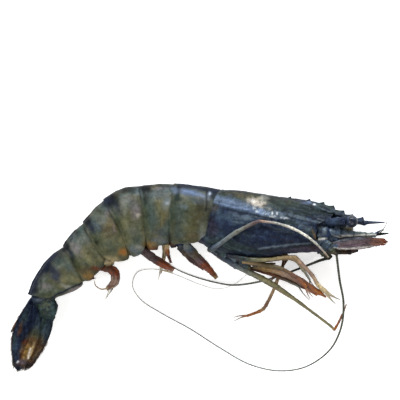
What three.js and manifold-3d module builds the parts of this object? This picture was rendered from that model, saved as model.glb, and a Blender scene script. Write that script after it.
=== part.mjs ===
// A raw tiger prawn, whole, lying on its left side. Millimetres.
// +X points to the head, +Y to the back and +Z up, to the prawn's right side. The table is z = 0, and the
// origin is on the flat spot under the shield, on which the prawn rests.

import * as THREE from 'three';
import { mergeVertices } from 'three/addons/utils/BufferGeometryUtils.js';
import Module from 'manifold-3d';

const wasm = await Module();
wasm.setup();

// ---------------------------------------------------------------- driving sizes

const GAP = 0.3; // clearance between neighbouring pieces
const MID = 10.1; // height of the middle plane of the head and shield
const FLAT = 0.6; // how far the resting side is flattened by the table
const RECESS = 3.2; // how far the belly lies up between the lower edges of the shell
const SEAM = 0.013; // share of a ring's length that is left free at each end
const LIP = 0.35; // how far the rear rim of a ring stands proud
const TRUNK_SIDES = 28;
const LIMB_SIDES = 6;
const LEAF_SIDES = 10;
const PADDLE_SIDES = 8;
const FEELER_SIDES = 5;
const THORAX_SIDES = 16;

// The hinges between shield, rings and tail, from front to rear. `at` is the middle of the hinge,
// `tilt` how far its back end leans to the tail, `depth` belly to back, `width` half the breadth.
const HINGES = [
  { at: [-13.5, 2.7], tilt: -24.8, depth: 25.8, width: 10.3 },
  { at: [-29.9, 3.8], tilt: -4.8, depth: 26.6, width: 10.5 },
  { at: [-43.2, 2.9], tilt: 5.8, depth: 26.7, width: 10.3 },
  { at: [-55.1, -2.6], tilt: 23.9, depth: 28.2, width: 9.6 },
  { at: [-65.0, -8.6], tilt: 31.2, depth: 20.0, width: 8.4 },
  { at: [-74.7, -18.9], tilt: 29.1, depth: 18.5, width: 7.4 },
  { at: [-88.4, -33.1], tilt: 79.5, depth: 12.4, width: 5.6 },
];

// How far each ring swells beyond the straight line between its hinges, on the back and at the lower edge.
const RINGS = [
  { back: 0.4, lobe: 0.3 },
  { back: 0.4, lobe: 0.6 },
  { back: 1.5, lobe: 1.7 },
  { back: 0.2, lobe: 1.7 },
  { back: 0.6, lobe: 1.2 },
  { back: 1.8, lobe: 0.9 },
];

const RING_PLACES = [0, 0.1, 0.22, 0.42, 0.64, 0.84, 0.92, 1]; // where a ring's sections lie along it

// The shield over head and thorax, from its rear edge to the eye sockets.
const SHIELD = [
  { at: [-13.5, 2.7], tilt: -24.8, depth: 25.8, width: 10.3 },
  { at: [-5.4, 0.7], tilt: -21.8, depth: 29.1, width: 10.7 },
  { at: [5.0, -1.1], tilt: -19.8, depth: 29.2, width: 10.8 },
  { at: [15.5, -2.5], tilt: -19.6, depth: 28.2, width: 10.6 },
  { at: [24.8, -2.4], tilt: -20.9, depth: 25.3, width: 9.6 },
  { at: [32.9, -2.9], tilt: -21.0, depth: 22.6, width: 8.2 },
  { at: [39.8, -3.8], tilt: -16.8, depth: 20.2, width: 6.2 },
];
const SHIELD_STEPS = 15;
const SHIELD_LENGTH = 50;
const SOCKET = { depth: 0.14, angle: 84, spread: 24 }; // the bay in the front edge behind the eye stalk

// The rostrum, the toothed blade between the eyes: its upper and lower edges and the tips of its teeth.
const ROSTRUM_TOP = [[12, 10.2], [20, 10.4], [27, 9.6], [33.8, 8.7], [40.5, 6.8], [47.7, 3.4],
  [52.2, 1.7], [57.1, 0.5], [65.2, 0]];
const ROSTRUM_BOTTOM = [[61, -0.6], [57.5, -0.9], [56, -1.7], [53.6, -1.1], [50.6, -1.2],
  [47.2, 0.4], [40.5, 1.8], [27, 3.5], [12, 5]];
const TEETH = [22.9, 31.5, 37.8, 42.3, 46.8, 50.9, 55.4];
const TOOTH = { height: 1.3, run: 3.2, hook: 0.5 };
const ROSTRUM_THICKNESS = 1.9;
const ROSTRUM_TIP_SHARE = 0.42; // thickness at the tip, as a share of that at the root

// The underside of the thorax, between the shield's lower edges: x, lower edge, upper edge, half breadth.
const THORAX = [
  [-15.5, -10.4, -7.5, 2.6],
  [-12.6, -13.0, -7.5, 4.6],
  [-6.8, -16.2, -8.5, 5.4],
  [0, -18.0, -9.5, 5.6],
  [6.8, -17.6, -10.5, 5.4],
  [13.5, -15.4, -10.5, 5.0],
  [24, -13.6, -9.5, 4.6],
  [34, -12.8, -8.5, 3.6],
];

// Routes of the limbs: each joint is x, y, z and radius. `tips` are the fingers of a claw.
const LIMBS = {
  maxilliped_3_right: {
    route: [[5.5, -19.6, 12, 1.3], [11.7, -20.7, 12.2, 1.7], [19.8, -22.9, 12, 1.8],
      [27.9, -27, 11.4, 1.6], [36, -31.9, 10.4, 1], [38.7, -33.8, 10.2, 0.4]],
  },
  maxilliped_3_left: {
    route: [[5.6, -20, 7.4, 1.2], [12.6, -21.6, 7.6, 1.6], [20.7, -24.3, 7.4, 1.6],
      [28.8, -28.8, 6.8, 1.4], [35.1, -32.9, 6.2, 0.7]],
  },
  pereiopod_1_right: {
    route: [[0.9, -18.2, 15.4, 1], [9.9, -19.1, 15.8, 0.95], [18, -20.7, 15.8, 0.95],
      [25.2, -24.8, 14.6, 0.9], [29.7, -29.2, 13.2, 0.7]],
    tips: [[31.5, -34.6, 12], [32.6, -33.6, 12.6]],
  },
  pereiopod_2_right: {
    route: [[-1.6, -16.7, 13.3, 1], [9.9, -17.4, 14.2, 0.8], [23.9, -16.7, 12.6, 0.85],
      [28.4, -21.6, 10.8, 0.85], [31.5, -26.1, 9.6, 0.7]],
    tips: [[33.6, -29.6, 9.2], [32.2, -30.2, 9]],
  },
  pereiopod_3_right: {
    route: [[-5.4, -14.6, 16.3, 1.2], [2.2, -16.5, 18, 1.1], [9.9, -16.9, 17.6, 1],
      [23.9, -15.6, 15.8, 0.95], [27, -18, 15, 1], [32.4, -23.9, 12.8, 0.95], [36.9, -29.2, 11.6, 0.95]],
    tips: [[45.3, -35.1, 10], [43, -36.9, 9.8]],
  },
  pereiopod_4_right: {
    route: [[-9.9, -14.2, 13, 1.5], [-3.6, -18.4, 13, 1.5], [3.1, -22, 12.9, 1.3],
      [9.9, -25.2, 12.4, 1.1], [16.4, -28.8, 11.2, 0.95], [27.2, -36.6, 8.2, 0.75],
      [42.8, -48.6, 3.2, 0.65], [46.3, -42.3, 2.4, 0.6], [48.3, -37.2, 2, 0.3]],
  },
  pereiopod_5_right: {
    route: [[-13.6, -12.4, 13.4, 1.3], [-11.6, -11.6, 18.6, 1.2], [-1.8, -4.5, 21.9, 1.05],
      [8.1, 0.5, 22.1, 1], [16.2, -0.2, 21.9, 0.85], [23.4, -2.7, 21.4, 0.8],
      [29.7, -6.3, 20.2, 0.7], [34.6, -10.3, 18.9, 0.6], [39.6, -15.8, 17.6, 0.35]],
  },
  pereiopod_1_left: {
    route: [[2.7, -20.4, 9.8, 1], [9.9, -22.2, 9.9, 0.9], [18, -25, 9.8, 0.85], [27.4, -29.4, 9, 0.6]],
    tips: [[31.2, -35.1, 8.4], [30, -33.8, 8.2]],
  },
  pereiopod_2_left: {
    route: [[-1.8, -16.4, 6.8, 1.2], [9.9, -17.1, 5.3, 0.85], [19.8, -15.8, 4.8, 0.8],
      [16.2, -28.4, 3.4, 0.75], [10.6, -39.3, 2.3, 0.75], [3.1, -42.6, 1.8, 0.55]],
    tips: [[-2.9, -43.2, 1.5], [-2.6, -44.9, 1.3]],
  },
  pereiopod_3_left: {
    route: [[-5.4, -15.6, 4.8, 1.1], [9.9, -16.6, 2.7, 0.7], [21.6, -15.5, 2.2, 0.7],
      [14.8, -25.7, 2.2, 0.6]],
    tips: [[12.2, -28.4, 2], [13.5, -29.2, 2]],
  },
  pereiopod_4_left: {
    route: [[-9, -15.6, 7.6, 1.2], [-1.8, -19.8, 7.2, 1.4], [4.5, -23.1, 6.6, 1.1],
      [11.7, -27.2, 6, 0.9], [19.8, -32.3, 5.4, 0.6], [27, -37, 4.6, 0.3]],
  },
  pereiopod_5_left: {
    route: [[-12.6, -13, 5.2, 1.1], [-6.3, -17.4, 3.9, 1], [2.7, -19, 2.9, 0.9], [16.2, -18.8, 2.2, 0.4]],
  },
};

// Claw fingers: how far inside the hand they start, their width there as a share of the hand's, and the
// radius of their tips.
const FINGER = { start: 0.12, width: 0.75, tip: 0.22 };

// The swimming legs under rings 1 to 5, each a flattened paddle.
const PADDLE_THICKNESS = 0.5; // as a share of its breadth
const STEM_THICKNESS = 0.5;
const PADDLES = {
  pleopod_1_right: [[-25.2, -9.5, 12.8, 2.2], [-19.8, -15.3, 12.6, 2], [-15.3, -19.8, 12, 1.8],
    [-10.3, -25.2, 11, 0.8]],
  pleopod_1_left: [[-27, -10.8, 7.2, 2], [-21.6, -16.7, 6.8, 1.7], [-16.2, -21.2, 6, 0.7]],
  pleopod_2_right: [[-32.9, -9.5, 12.6, 1.4], [-33.3, -14, 12.4, 1.1], [-31.1, -18, 12, 0.5]],
  pleopod_2_left: [[-33.8, -9.9, 6.2, 1.4], [-35.4, -17.1, 3.8, 1.2], [-36.4, -24.8, 2.4, 0.6]],
  pleopod_3_right: [[-44.6, -12.2, 11.8, 1.9], [-38.7, -16.4, 11.6, 2], [-33.4, -19.6, 11.2, 1.7],
    [-29.4, -21.8, 10.8, 0.6]],
  pleopod_3_left: [[-44.6, -10.6, 6.9, 1.5], [-39.6, -15.6, 7, 1.5], [-32.4, -19.8, 6.6, 0.6]],
  pleopod_4_right: [[-64.2, -20.4, 10.6, 1.4], [-60.2, -20.6, 10.6, 2], [-56.4, -22.8, 10.2, 2.1],
    [-56.5, -27.2, 9.8, 1.8], [-60.2, -30.2, 9.4, 0.6]],
  pleopod_4_left: [[-62, -18.6, 5.4, 1.4], [-58.2, -21.8, 5.2, 1.5], [-56.4, -25.2, 5, 1.1],
    [-58.5, -28.6, 4.8, 0.5]],
  pleopod_5_right: [[-71.2, -23.4, 9, 1.3], [-68.8, -25.2, 9, 1.4], [-65.8, -24.6, 8.8, 0.6]],
  pleopod_5_left: [[-71.2, -23.4, 4.6, 1.3], [-68.8, -25.2, 4.4, 1.3], [-65.8, -24.8, 4.2, 0.5]],
};

// The long feelers. They leave the head, come down to the table and lie on it.
const FEELER_STEPS = 50;
const FEELERS = {
  flagellum_right: [[43.2, -14.8, 16.2, 0.5], [44.8, -26.1, 11, 0.5], [46.7, -36.5, 7.6, 0.5],
    [45.7, -47.7, 5.2, 0.46], [40.8, -57.8, 2.7, 0.44], [30.2, -65.5, 1, 0.42], [18, -67.5, 0.6, 0.4],
    [4.5, -64.6, 0.6, 0.38], [-9, -57.1, 0.6, 0.36], [-22.5, -48.5, 0.6, 0.34],
    [-36, -41.1, 0.5, 0.32], [-45, -35.1, 0.5, 0.3], [-48.6, -28.8, 0.5, 0.3],
    [-46.4, -22.9, 0.5, 0.3], [-39.6, -21.4, 0.5, 0.3], [-30.6, -23.4, 0.5, 0.3],
    [-18, -28.4, 0.5, 0.3], [-9.9, -30.4, 0.5, 0.3], [-2.7, -28.4, 0.5, 0.3], [3.1, -23.9, 0.5, 0.3]],
  flagellum_left: [[38.9, -18.3, 3.7, 0.5], [33.8, -19.2, 3.1, 0.48], [25.7, -21.6, 2.1, 0.46],
    [14.4, -25.7, 0.8, 0.44], [4.5, -27.9, 1.6, 0.4], [-3.6, -28.6, 1.7, 0.38],
    [-11.2, -27.4, 0.9, 0.36], [-19.4, -25.2, 0.6, 0.34], [-27, -22.3, 0.6, 0.32],
    [-31.2, -20, 0.6, 0.3]],
};

// Pieces of the head. A left piece mirrors the right one in the middle plane.
const EYE = { at: [50, 0.5, 16.1], radius: 2.8 };
const EYE_STALK = [[35.6, -0.1, 12.8, 1.3], [40.5, 0, 14, 1.9], [46.3, 0.2, 15.2, 1.9]];
const ANTENNULE = {
  route: [[36.4, -4.5, 13, 2.6], [45, -5, 12.7, 2.3], [51, -5.7, 12, 1.55], [61.2, -5.8, 11.5, 0.95]],
  tips: [[64.6, -3.4, 11.8], [66.8, -5.1, 11]],
};
const SCALE = { // the blunt blade beside the feeler
  root: [43.2, -10.5, 16.2],
  tip: [65.2, -8.9, 15.8],
  across: [0, -0.6, 0.8],
  halfWidth: 4.3,
  halfThickness: 0.5,
  base: 0.6,
  end: 0.6,
};
const ANTENNA_BASE_RIGHT = [[36.6, -9.4, 14.6, 2.3], [39.8, -11.4, 15.4, 2.2], [43, -13.8, 16.2, 1.4]];
const ANTENNA_BASE_LEFT = [[35.6, -11.6, 5.6, 2.1], [38.4, -14, 4.8, 2], [40.8, -16.6, 4.3, 1.3]];
const PALP = [[36.2, -12.7, 11.9, 0.8], [43.2, -13.5, 12.4, 0.8], [49.5, -13.5, 12.4, 0.75],
  [53.1, -12.8, 12.4, 0.4]];

// The tail fan, folded: the telson is the spike on the back, and the four blades lie on each other.
const TELSON = {
  root: [-92, -33.6, 5.2],
  tip: [-103.5, -50, 5.2],
  halfWidth: 1.7,
  halfThickness: 1.3,
  fullness: 0.35,
  base: 0.9,
  steps: 8,
};
const TAIL_STEMS = {
  tail_stem_right: [[-86.4, -35, 7.5, 3.2], [-86.5, -37.4, 7.6, 4], [-86.8, -40.4, 7.6, 3.6]],
  tail_stem_left: [[-86.4, -35, 3, 3.2], [-86.5, -37.4, 2.9, 4], [-86.8, -40.4, 2.9, 3.6]],
};
const TAIL_BLADES = {
  inner_blade_right: { root: [-93.4, -37.6, 8.8], tip: [-100.2, -67, 7.2], halfWidth: 6.1, fullness: 0.95 },
  outer_blade_right: {
    root: [-87.2, -41.3, 7.1], tip: [-96.8, -66.4, 5.9], halfWidth: 4.9, fullness: 0.6, base: 0.9,
  },
  inner_blade_left: { root: [-93, -38.4, 2.2], tip: [-99, -65.2, 3.1], halfWidth: 5.9, fullness: 0.95 },
  outer_blade_left: {
    root: [-87.4, -41.3, 3.8], tip: [-95.4, -65.2, 4.4], halfWidth: 4.7, fullness: 0.6, base: 0.9,
  },
};
const BLADE_HALF_THICKNESS = 0.42;

const COLOURS = {
  shell: '#434a4c', ring: '#5d6150', dark: '#242c3a', paddle: '#6b3c2a', limb: '#8d7860', leg: '#9a4f2c',
  feeler: '#6d6d62', eye: '#15181d', scale: '#6f5350',
};

// ---------------------------------------------------------------- making solids

const radians = THREE.MathUtils.degToRad;
const { lerp, smoothstep } = THREE.MathUtils;

// A closed solid from rings of points, each ring with the same number of points. Both ends are filled.
function ringSolid(rings) {
  const sides = rings[0].length;
  const points = rings.flat();
  const faces = [];
  for (let r = 0; r + 1 < rings.length; r++) {
    for (let k = 0; k < sides; k++) {
      const a = r * sides + k;
      const b = r * sides + ((k + 1) % sides);
      faces.push(a, b, b + sides, a, b + sides, a + sides);
    }
  }
  const ends = [[rings[0], 0, true], [rings.at(-1), (rings.length - 1) * sides, false]];
  for (const [ring, first, turned] of ends) {
    const centre = ring.reduce((sum, p) => sum.add(p), new THREE.Vector3()).divideScalar(sides);
    points.push(centre);
    for (let k = 0; k < sides; k++) {
      const a = first + k;
      const b = first + ((k + 1) % sides);
      faces.push(...(turned ? [b, a, points.length - 1] : [a, b, points.length - 1]));
    }
  }
  let volume = 0;
  for (let f = 0; f < faces.length; f += 3) {
    const [a, b, c] = [points[faces[f]], points[faces[f + 1]], points[faces[f + 2]]];
    volume += a.dot(b.clone().cross(c));
  }
  if (volume < 0) faces.reverse();
  return new wasm.Manifold(new wasm.Mesh({
    numProp: 3,
    vertProperties: Float32Array.from(points.flatMap((p) => p.toArray())),
    triVerts: Uint32Array.from(faces),
  }));
}

function geometrySolid(geometry) {
  geometry.deleteAttribute('normal');
  geometry.deleteAttribute('uv');
  const merged = mergeVertices(geometry, 1e-4);
  return new wasm.Manifold(new wasm.Mesh({
    numProp: 3,
    vertProperties: Float32Array.from(merged.attributes.position.array),
    triVerts: Uint32Array.from(merged.index.array),
  }));
}

// A round or flattened tube through joints of x, y, z and radius. `grow` adds to every radius.
function tube(joints, { sides = LIMB_SIDES, perJoint = 3, steps, thickness = 1, grow = 0 } = {}) {
  const points = joints.map(([x, y, z]) => new THREE.Vector3(x, y, z));
  const curve = new THREE.CatmullRomCurve3(points, false, 'centripetal');
  const count = steps ?? perJoint * (joints.length - 1);
  const rings = [];
  let up = new THREE.Vector3(0, 0, 1);
  for (let i = 0; i <= count; i++) {
    const t = i / count;
    const place = Math.min(t * (joints.length - 1), joints.length - 1 - 1e-9);
    const joint = Math.floor(place);
    const radius = lerp(joints[joint][3], joints[joint + 1][3], place - joint) + grow;
    const along = curve.getTangent(t);
    const beyond = i === 0 ? -grow : i === count ? grow : 0;
    const centre = curve.getPoint(t).addScaledVector(along, beyond);
    // The upright axis of the section stays as near to +Z as the route allows, without twisting.
    up = up.clone().addScaledVector(along, -along.dot(up)).normalize();
    const side = along.clone().cross(up);
    rings.push(Array.from({ length: sides }, (_, k) => {
      const angle = (2 * Math.PI * k) / sides;
      return centre.clone()
        .addScaledVector(side, radius * Math.cos(angle))
        .addScaledVector(up, radius * thickness * Math.sin(angle));
    }));
  }
  return ringSolid(rings);
}

// ---------------------------------------------------------------- shield and rings

// A smooth value at place t, 0 to 1, between numbers or rows of numbers.
function smoothAt(values, t) {
  const place = Math.min(t * (values.length - 1), values.length - 1 - 1e-9);
  const i = Math.floor(place);
  const [a, b, c, d] = [-1, 0, 1, 2].map((k) => values[THREE.MathUtils.clamp(i + k, 0, values.length - 1)]);
  const u = place - i;
  const blend = (p, q, r, s) => 0.5 * (2 * q + (r - p) * u + (2 * p - 5 * q + 4 * r - s) * u * u
    + (3 * q - p - 3 * r + s) * u * u * u);
  return Array.isArray(a) ? a.map((_, k) => blend(a[k], b[k], c[k], d[k])) : blend(a, b, c, d);
}

// A section of the trunk: round above, with upright flanks and a hollow belly between two lower edges.
function sectionPoint(angle, halfDepth, halfWidth, recess, grow) {
  const c = Math.cos(angle);
  const s = Math.sin(angle);
  const side = Math.sign(s) * Math.abs(s) ** 0.86 * halfWidth;
  if (c >= 0) return [halfDepth * c ** 0.95, side];
  const bay = Math.max(0, 1 - (side / (0.6 * halfWidth - grow)) ** 2);
  return [-1.08 * halfDepth * (-c) ** 0.4 + recess * bay, side];
}

function trunkPoint({ at, tilt, depth, width, middle }, angle, grow = 0, recess = RECESS) {
  const [up, side] = sectionPoint(angle, depth / 2 + grow, width + grow, recess, grow);
  const lean = radians(tilt);
  const height = Math.max(0, middle + side); // the table flattens the resting side
  return new THREE.Vector3(at[0] - Math.sin(lean) * up, at[1] + Math.cos(lean) * up, height);
}

function stationAt(stations, t) {
  const [x, y, tilt, depth, width] = smoothAt(stations.map((s) => [...s.at, s.tilt, s.depth, s.width]), t);
  return { at: [x, y], tilt, depth, width, middle: MID };
}

function shieldPoint(t, angle, grow) {
  const fromBack = THREE.MathUtils.radToDeg(Math.min(angle, 2 * Math.PI - angle));
  const fromSocket = (fromBack - SOCKET.angle) / SOCKET.spread;
  const reach = 1 - SOCKET.depth * Math.exp(-fromSocket * fromSocket);
  return trunkPoint(stationAt(SHIELD, t * reach), angle, grow);
}

function rostrum() {
  const top = new THREE.SplineCurve(ROSTRUM_TOP.map(([x, y]) => new THREE.Vector2(x, y))).getPoints(48);
  const heightAt = (x) => {
    const i = Math.max(1, top.findIndex((p) => p.x >= x));
    const share = (x - top[i - 1].x) / (top[i].x - top[i - 1].x);
    return lerp(top[i - 1].y, top[i].y, share);
  };
  const outline = [ROSTRUM_TOP[0]];
  for (const x of TEETH) {
    outline.push([x - TOOTH.run, heightAt(x - TOOTH.run)], [x, heightAt(x) + TOOTH.height]);
    outline.push([x - TOOTH.hook, heightAt(x) - 0.1]);
  }
  outline.push([60, heightAt(60)], ROSTRUM_TOP.at(-1), ...ROSTRUM_BOTTOM);
  const shape = new THREE.Shape(outline.map(([x, y]) => new THREE.Vector2(x, y)));
  const geometry = new THREE.ExtrudeGeometry(shape, { depth: ROSTRUM_THICKNESS, bevelEnabled: false });
  const position = geometry.attributes.position;
  for (let i = 0; i < position.count; i++) {
    const share = lerp(1, ROSTRUM_TIP_SHARE, smoothstep(position.getX(i), 25, 65));
    position.setZ(i, MID + (position.getZ(i) - ROSTRUM_THICKNESS / 2) * share);
  }
  return geometrySolid(geometry);
}

function trunkRings(places, pointAt) {
  const angles = Array.from({ length: TRUNK_SIDES }, (_, k) => (2 * Math.PI * k) / TRUNK_SIDES);
  return places.map((t) => angles.map((angle) => pointAt(t, angle)));
}

function shield(grow = 0) {
  const places = Array.from({ length: SHIELD_STEPS + 1 }, (_, i) => i / SHIELD_STEPS);
  const ends = grow / SHIELD_LENGTH;
  const from = SEAM / 3 - ends;
  return ringSolid(trunkRings(places, (t, angle) => shieldPoint(lerp(from, 1 + ends, t), angle, grow)));
}

// One ring of the abdomen. Its front end is narrower than the rim of the ring before it, and its own rear rim
// stands proud.
function ring(index, grow = 0) {
  const [front, rear] = [HINGES[index], HINGES[index + 1]];
  const swell = RINGS[index];
  return ringSolid(trunkRings(RING_PLACES, (t, angle) => {
    const hump = 4 * t * (1 - t);
    const rim = LIP * (smoothstep(t, 0.84, 1) - smoothstep(1 - t, 0.84, 1));
    const back = swell.back * hump + rim;
    const lobe = swell.lobe * hump ** 0.6;
    const share = lerp(SEAM, 1 - SEAM, t);
    const tilt = lerp(front.tilt, rear.tilt, share);
    const shift = (back - lobe) / 2;
    const width = lerp(front.width, rear.width, share) + rim;
    return trunkPoint({
      at: [lerp(front.at[0], rear.at[0], share) - Math.sin(radians(tilt)) * shift,
        lerp(front.at[1], rear.at[1], share) + Math.cos(radians(tilt)) * shift],
      tilt,
      depth: lerp(front.depth, rear.depth, share) + back + lobe,
      width,
      middle: width - FLAT,
    }, angle, grow, RECESS * lerp(0.9, 0.5, index / 5));
  }));
}

function thorax() {
  return ringSolid(THORAX.map(([x, low, high, halfWidth]) => Array.from({ length: THORAX_SIDES }, (_, k) => {
    const angle = (2 * Math.PI * k) / THORAX_SIDES;
    const y = lerp(low, high, 0.5 + 0.5 * Math.cos(angle));
    return new THREE.Vector3(x, y, MID + halfWidth * Math.sin(angle));
  })));
}

// ---------------------------------------------------------------- blades, feelers and limbs

// A thin leaf from root to tip. `across` is the direction of its breadth, `fullness` where it is broadest,
// `base` and `end` its least breadths at root and tip.
function leaf({
  root, tip, halfWidth, halfThickness = BLADE_HALF_THICKNESS, across, fullness = 0.75, base = 0.35,
  end = 0.06, steps = 10,
}) {
  const from = new THREE.Vector3(...root);
  const along = new THREE.Vector3(...tip).sub(from);
  const side = across ? new THREE.Vector3(...across) : new THREE.Vector3(0, 0, 1).cross(along);
  side.addScaledVector(along, -side.dot(along) / along.lengthSq()).normalize();
  const up = along.clone().cross(side).normalize();
  const rings = [];
  for (let i = 0; i <= steps; i++) {
    const t = i / steps;
    const breadth = halfWidth * Math.max(lerp(base, end, t), Math.sin(Math.PI * t ** fullness) ** 0.5);
    rings.push(Array.from({ length: LEAF_SIDES }, (_, k) => {
      const angle = (2 * Math.PI * k) / LEAF_SIDES;
      return from.clone().addScaledVector(along, t)
        .addScaledVector(side, breadth * Math.cos(angle))
        .addScaledVector(up, halfThickness * Math.sin(angle));
    }));
  }
  return ringSolid(rings);
}

// A limb of the head or thorax. Claw fingers start inside the hand and are joined to it.
function limb({ route, tips = [] }, grow = 0) {
  let solid = tube(route, { grow });
  const [hand, wrist] = [route.at(-1), route.at(-2)];
  for (const tip of tips) {
    const [x, y, z] = hand.map((value, k) => lerp(value, wrist[k], FINGER.start));
    const finger = [[x, y, z, hand[3] * FINGER.width], [...tip, FINGER.tip]];
    solid = solid.add(tube(finger, { grow, sides: FEELER_SIDES, perJoint: 2 }));
  }
  return solid;
}

const mirrored = (points) => points.map(([x, y, z, ...rest]) => [x, y, 2 * MID - z, ...rest]);
const paddle = (route, grow = 0) => tube(route, { sides: PADDLE_SIDES, thickness: PADDLE_THICKNESS, grow });

function ball({ at, radius }) {
  const geometry = new THREE.SphereGeometry(radius, 12, 8);
  geometry.translate(...at);
  return geometrySolid(geometry);
}

// ---------------------------------------------------------------- the prawn

const prawn = new THREE.Group();

function place(name, solid, colour) {
  const { vertProperties, triVerts } = solid.getMesh();
  const geometry = new THREE.BufferGeometry();
  geometry.setAttribute('position', new THREE.BufferAttribute(Float32Array.from(vertProperties), 3));
  geometry.setIndex(new THREE.BufferAttribute(Uint32Array.from(triVerts), 1));
  const material = new THREE.MeshStandardMaterial({ color: colour, roughness: 0.4, metalness: 0 });
  const mesh = new THREE.Mesh(geometry, material);
  mesh.name = name;
  prawn.add(mesh);
}

const carve = (solid, cutters) => cutters.reduce((rest, cutter) => rest.subtract(cutter), solid);

// Head pieces, which also cut their sockets into the shield.
const headRoutes = {
  eye_stalk_right: EYE_STALK,
  eye_stalk_left: mirrored(EYE_STALK),
  antenna_base_right: ANTENNA_BASE_RIGHT,
  antenna_base_left: ANTENNA_BASE_LEFT,
  palp_right: PALP,
  palp_left: mirrored(PALP),
};
const antennules = {
  antennule_right: ANTENNULE,
  antennule_left: { route: mirrored(ANTENNULE.route), tips: mirrored(ANTENNULE.tips) },
};

const headCutters = [
  ...Object.values(headRoutes).map((route) => tube(route, { grow: GAP })),
  ...Object.values(antennules).map(({ route }) => tube(route, { grow: GAP })),
];
const limbCutters = Object.values(LIMBS).map((limbRoute) => limb(limbRoute, GAP));

place('carapace', carve(shield().add(rostrum()), [...headCutters, ...limbCutters]), COLOURS.shell);
place('thorax', carve(thorax(), [shield(GAP), ...headCutters, ...limbCutters]), COLOURS.dark);

const paddleNames = Object.keys(PADDLES);
RINGS.forEach((_, index) => {
  const cutters = paddleNames.filter((name) => Math.abs(Number(name.split('_')[1]) - 1 - index) <= 1)
    .map((name) => paddle(PADDLES[name], GAP));
  place(`abdomen_${index + 1}`, carve(ring(index), cutters), COLOURS.ring);
});

for (const [name, route] of Object.entries(headRoutes)) place(name, tube(route), COLOURS.dark);
for (const [name, route] of Object.entries(antennules)) place(name, limb(route), COLOURS.dark);
const [leftEye, leftRoot, leftTip] = mirrored([EYE.at, SCALE.root, SCALE.tip]);
place('eye_right', ball(EYE), COLOURS.eye);
place('eye_left', ball({ ...EYE, at: leftEye }), COLOURS.eye);
place('antennal_scale_right', leaf(SCALE), COLOURS.scale);
place('antennal_scale_left', leaf({
  ...SCALE,
  root: leftRoot,
  tip: leftTip,
  across: [SCALE.across[0], SCALE.across[1], -SCALE.across[2]],
}), COLOURS.scale);

for (const [name, route] of Object.entries(LIMBS)) {
  place(name, limb(route), name.startsWith('maxilliped') ? COLOURS.leg : COLOURS.limb);
}
for (const [name, route] of Object.entries(PADDLES)) place(name, paddle(route), COLOURS.paddle);
for (const [name, route] of Object.entries(FEELERS)) {
  place(name, tube(route, { sides: FEELER_SIDES, steps: FEELER_STEPS }), COLOURS.feeler);
}

place('telson', leaf(TELSON), COLOURS.dark);
for (const [name, route] of Object.entries(TAIL_STEMS)) {
  place(name, tube(route, { thickness: STEM_THICKNESS }), COLOURS.dark);
}
for (const [name, blade] of Object.entries(TAIL_BLADES)) place(name, leaf(blade), COLOURS.dark);

export default prawn;
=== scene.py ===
"""A raw tiger prawn lying on its left side on a white table. Sizes in the tables are millimetres, in the
part's own frame: +X to the head, +Y to the back, +Z up, away from the table at z = 0."""
import math

import bpy
import numpy as np
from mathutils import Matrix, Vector


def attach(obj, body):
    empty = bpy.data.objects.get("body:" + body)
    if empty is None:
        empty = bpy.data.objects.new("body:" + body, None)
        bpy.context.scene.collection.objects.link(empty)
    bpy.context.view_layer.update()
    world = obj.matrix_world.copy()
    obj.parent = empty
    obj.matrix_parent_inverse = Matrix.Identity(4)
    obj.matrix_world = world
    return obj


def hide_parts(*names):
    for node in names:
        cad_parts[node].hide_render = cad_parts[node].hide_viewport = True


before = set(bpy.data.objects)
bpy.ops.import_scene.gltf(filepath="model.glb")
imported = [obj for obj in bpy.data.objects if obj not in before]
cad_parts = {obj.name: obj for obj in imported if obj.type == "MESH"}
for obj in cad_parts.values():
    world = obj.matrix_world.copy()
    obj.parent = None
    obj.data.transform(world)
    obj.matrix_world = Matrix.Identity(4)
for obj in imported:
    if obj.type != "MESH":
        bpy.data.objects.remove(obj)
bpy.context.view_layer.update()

MM = 0.001
RNG = np.random.default_rng(7)

# The drawing grid lies in the plane of the table. Marks and lines of colour are placed on it, v down.
GRID_MM = 0.45                  # one unit of the grid
GRID_ORIGIN = (240, 222)        # where x = 0 and y = 0 are on it

# ---------------------------------------------------------------- sizes shared with the solids

MID = 10.1          # height of the prawn's middle plane above the table
FLAT = 0.6          # how much the resting side is flattened
TABLE_GAP = 0.02    # limbs and feelers stay this far above the table
RECESS = 3.2        # depth of the hollow along the belly
# x, y, tilt in degrees, depth and half width at each hinge of the abdomen, from the shield to the tail.
HINGES = [
    (-13.5, 2.7, -24.8, 25.8, 10.3), (-29.9, 3.8, -4.8, 26.6, 10.5), (-43.2, 2.9, 5.8, 26.7, 10.3),
    (-55.1, -2.6, 23.9, 28.2, 9.6), (-65.0, -8.6, 31.2, 20.0, 8.4), (-74.7, -18.9, 29.1, 18.5, 7.4),
    (-88.4, -33.1, 79.5, 12.4, 5.6),
]
# How far the back and the lobe of each ring swell between its hinges.
RINGS = [(0.4, 0.3), (0.4, 0.6), (1.5, 1.7), (0.2, 1.7), (0.6, 1.2), (1.8, 0.9)]
# The same five values along the shield, from its rear edge to the head.
SHIELD = [
    (-13.5, 2.7, -24.8, 25.8, 10.3), (-5.4, 0.7, -21.8, 29.1, 10.7), (5.0, -1.1, -19.8, 29.2, 10.8),
    (15.5, -2.5, -19.6, 28.2, 10.6), (24.8, -2.4, -20.9, 25.3, 9.6), (32.9, -2.9, -21.0, 22.6, 8.2),
    (39.8, -3.8, -16.8, 20.2, 6.2),
]
# The front edge steps back at the eye: share of the length, degrees from the back, spread in degrees.
SOCKET_DEPTH = 0.14
SOCKET_ANGLE = 84
SOCKET_SPREAD = 24
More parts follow.
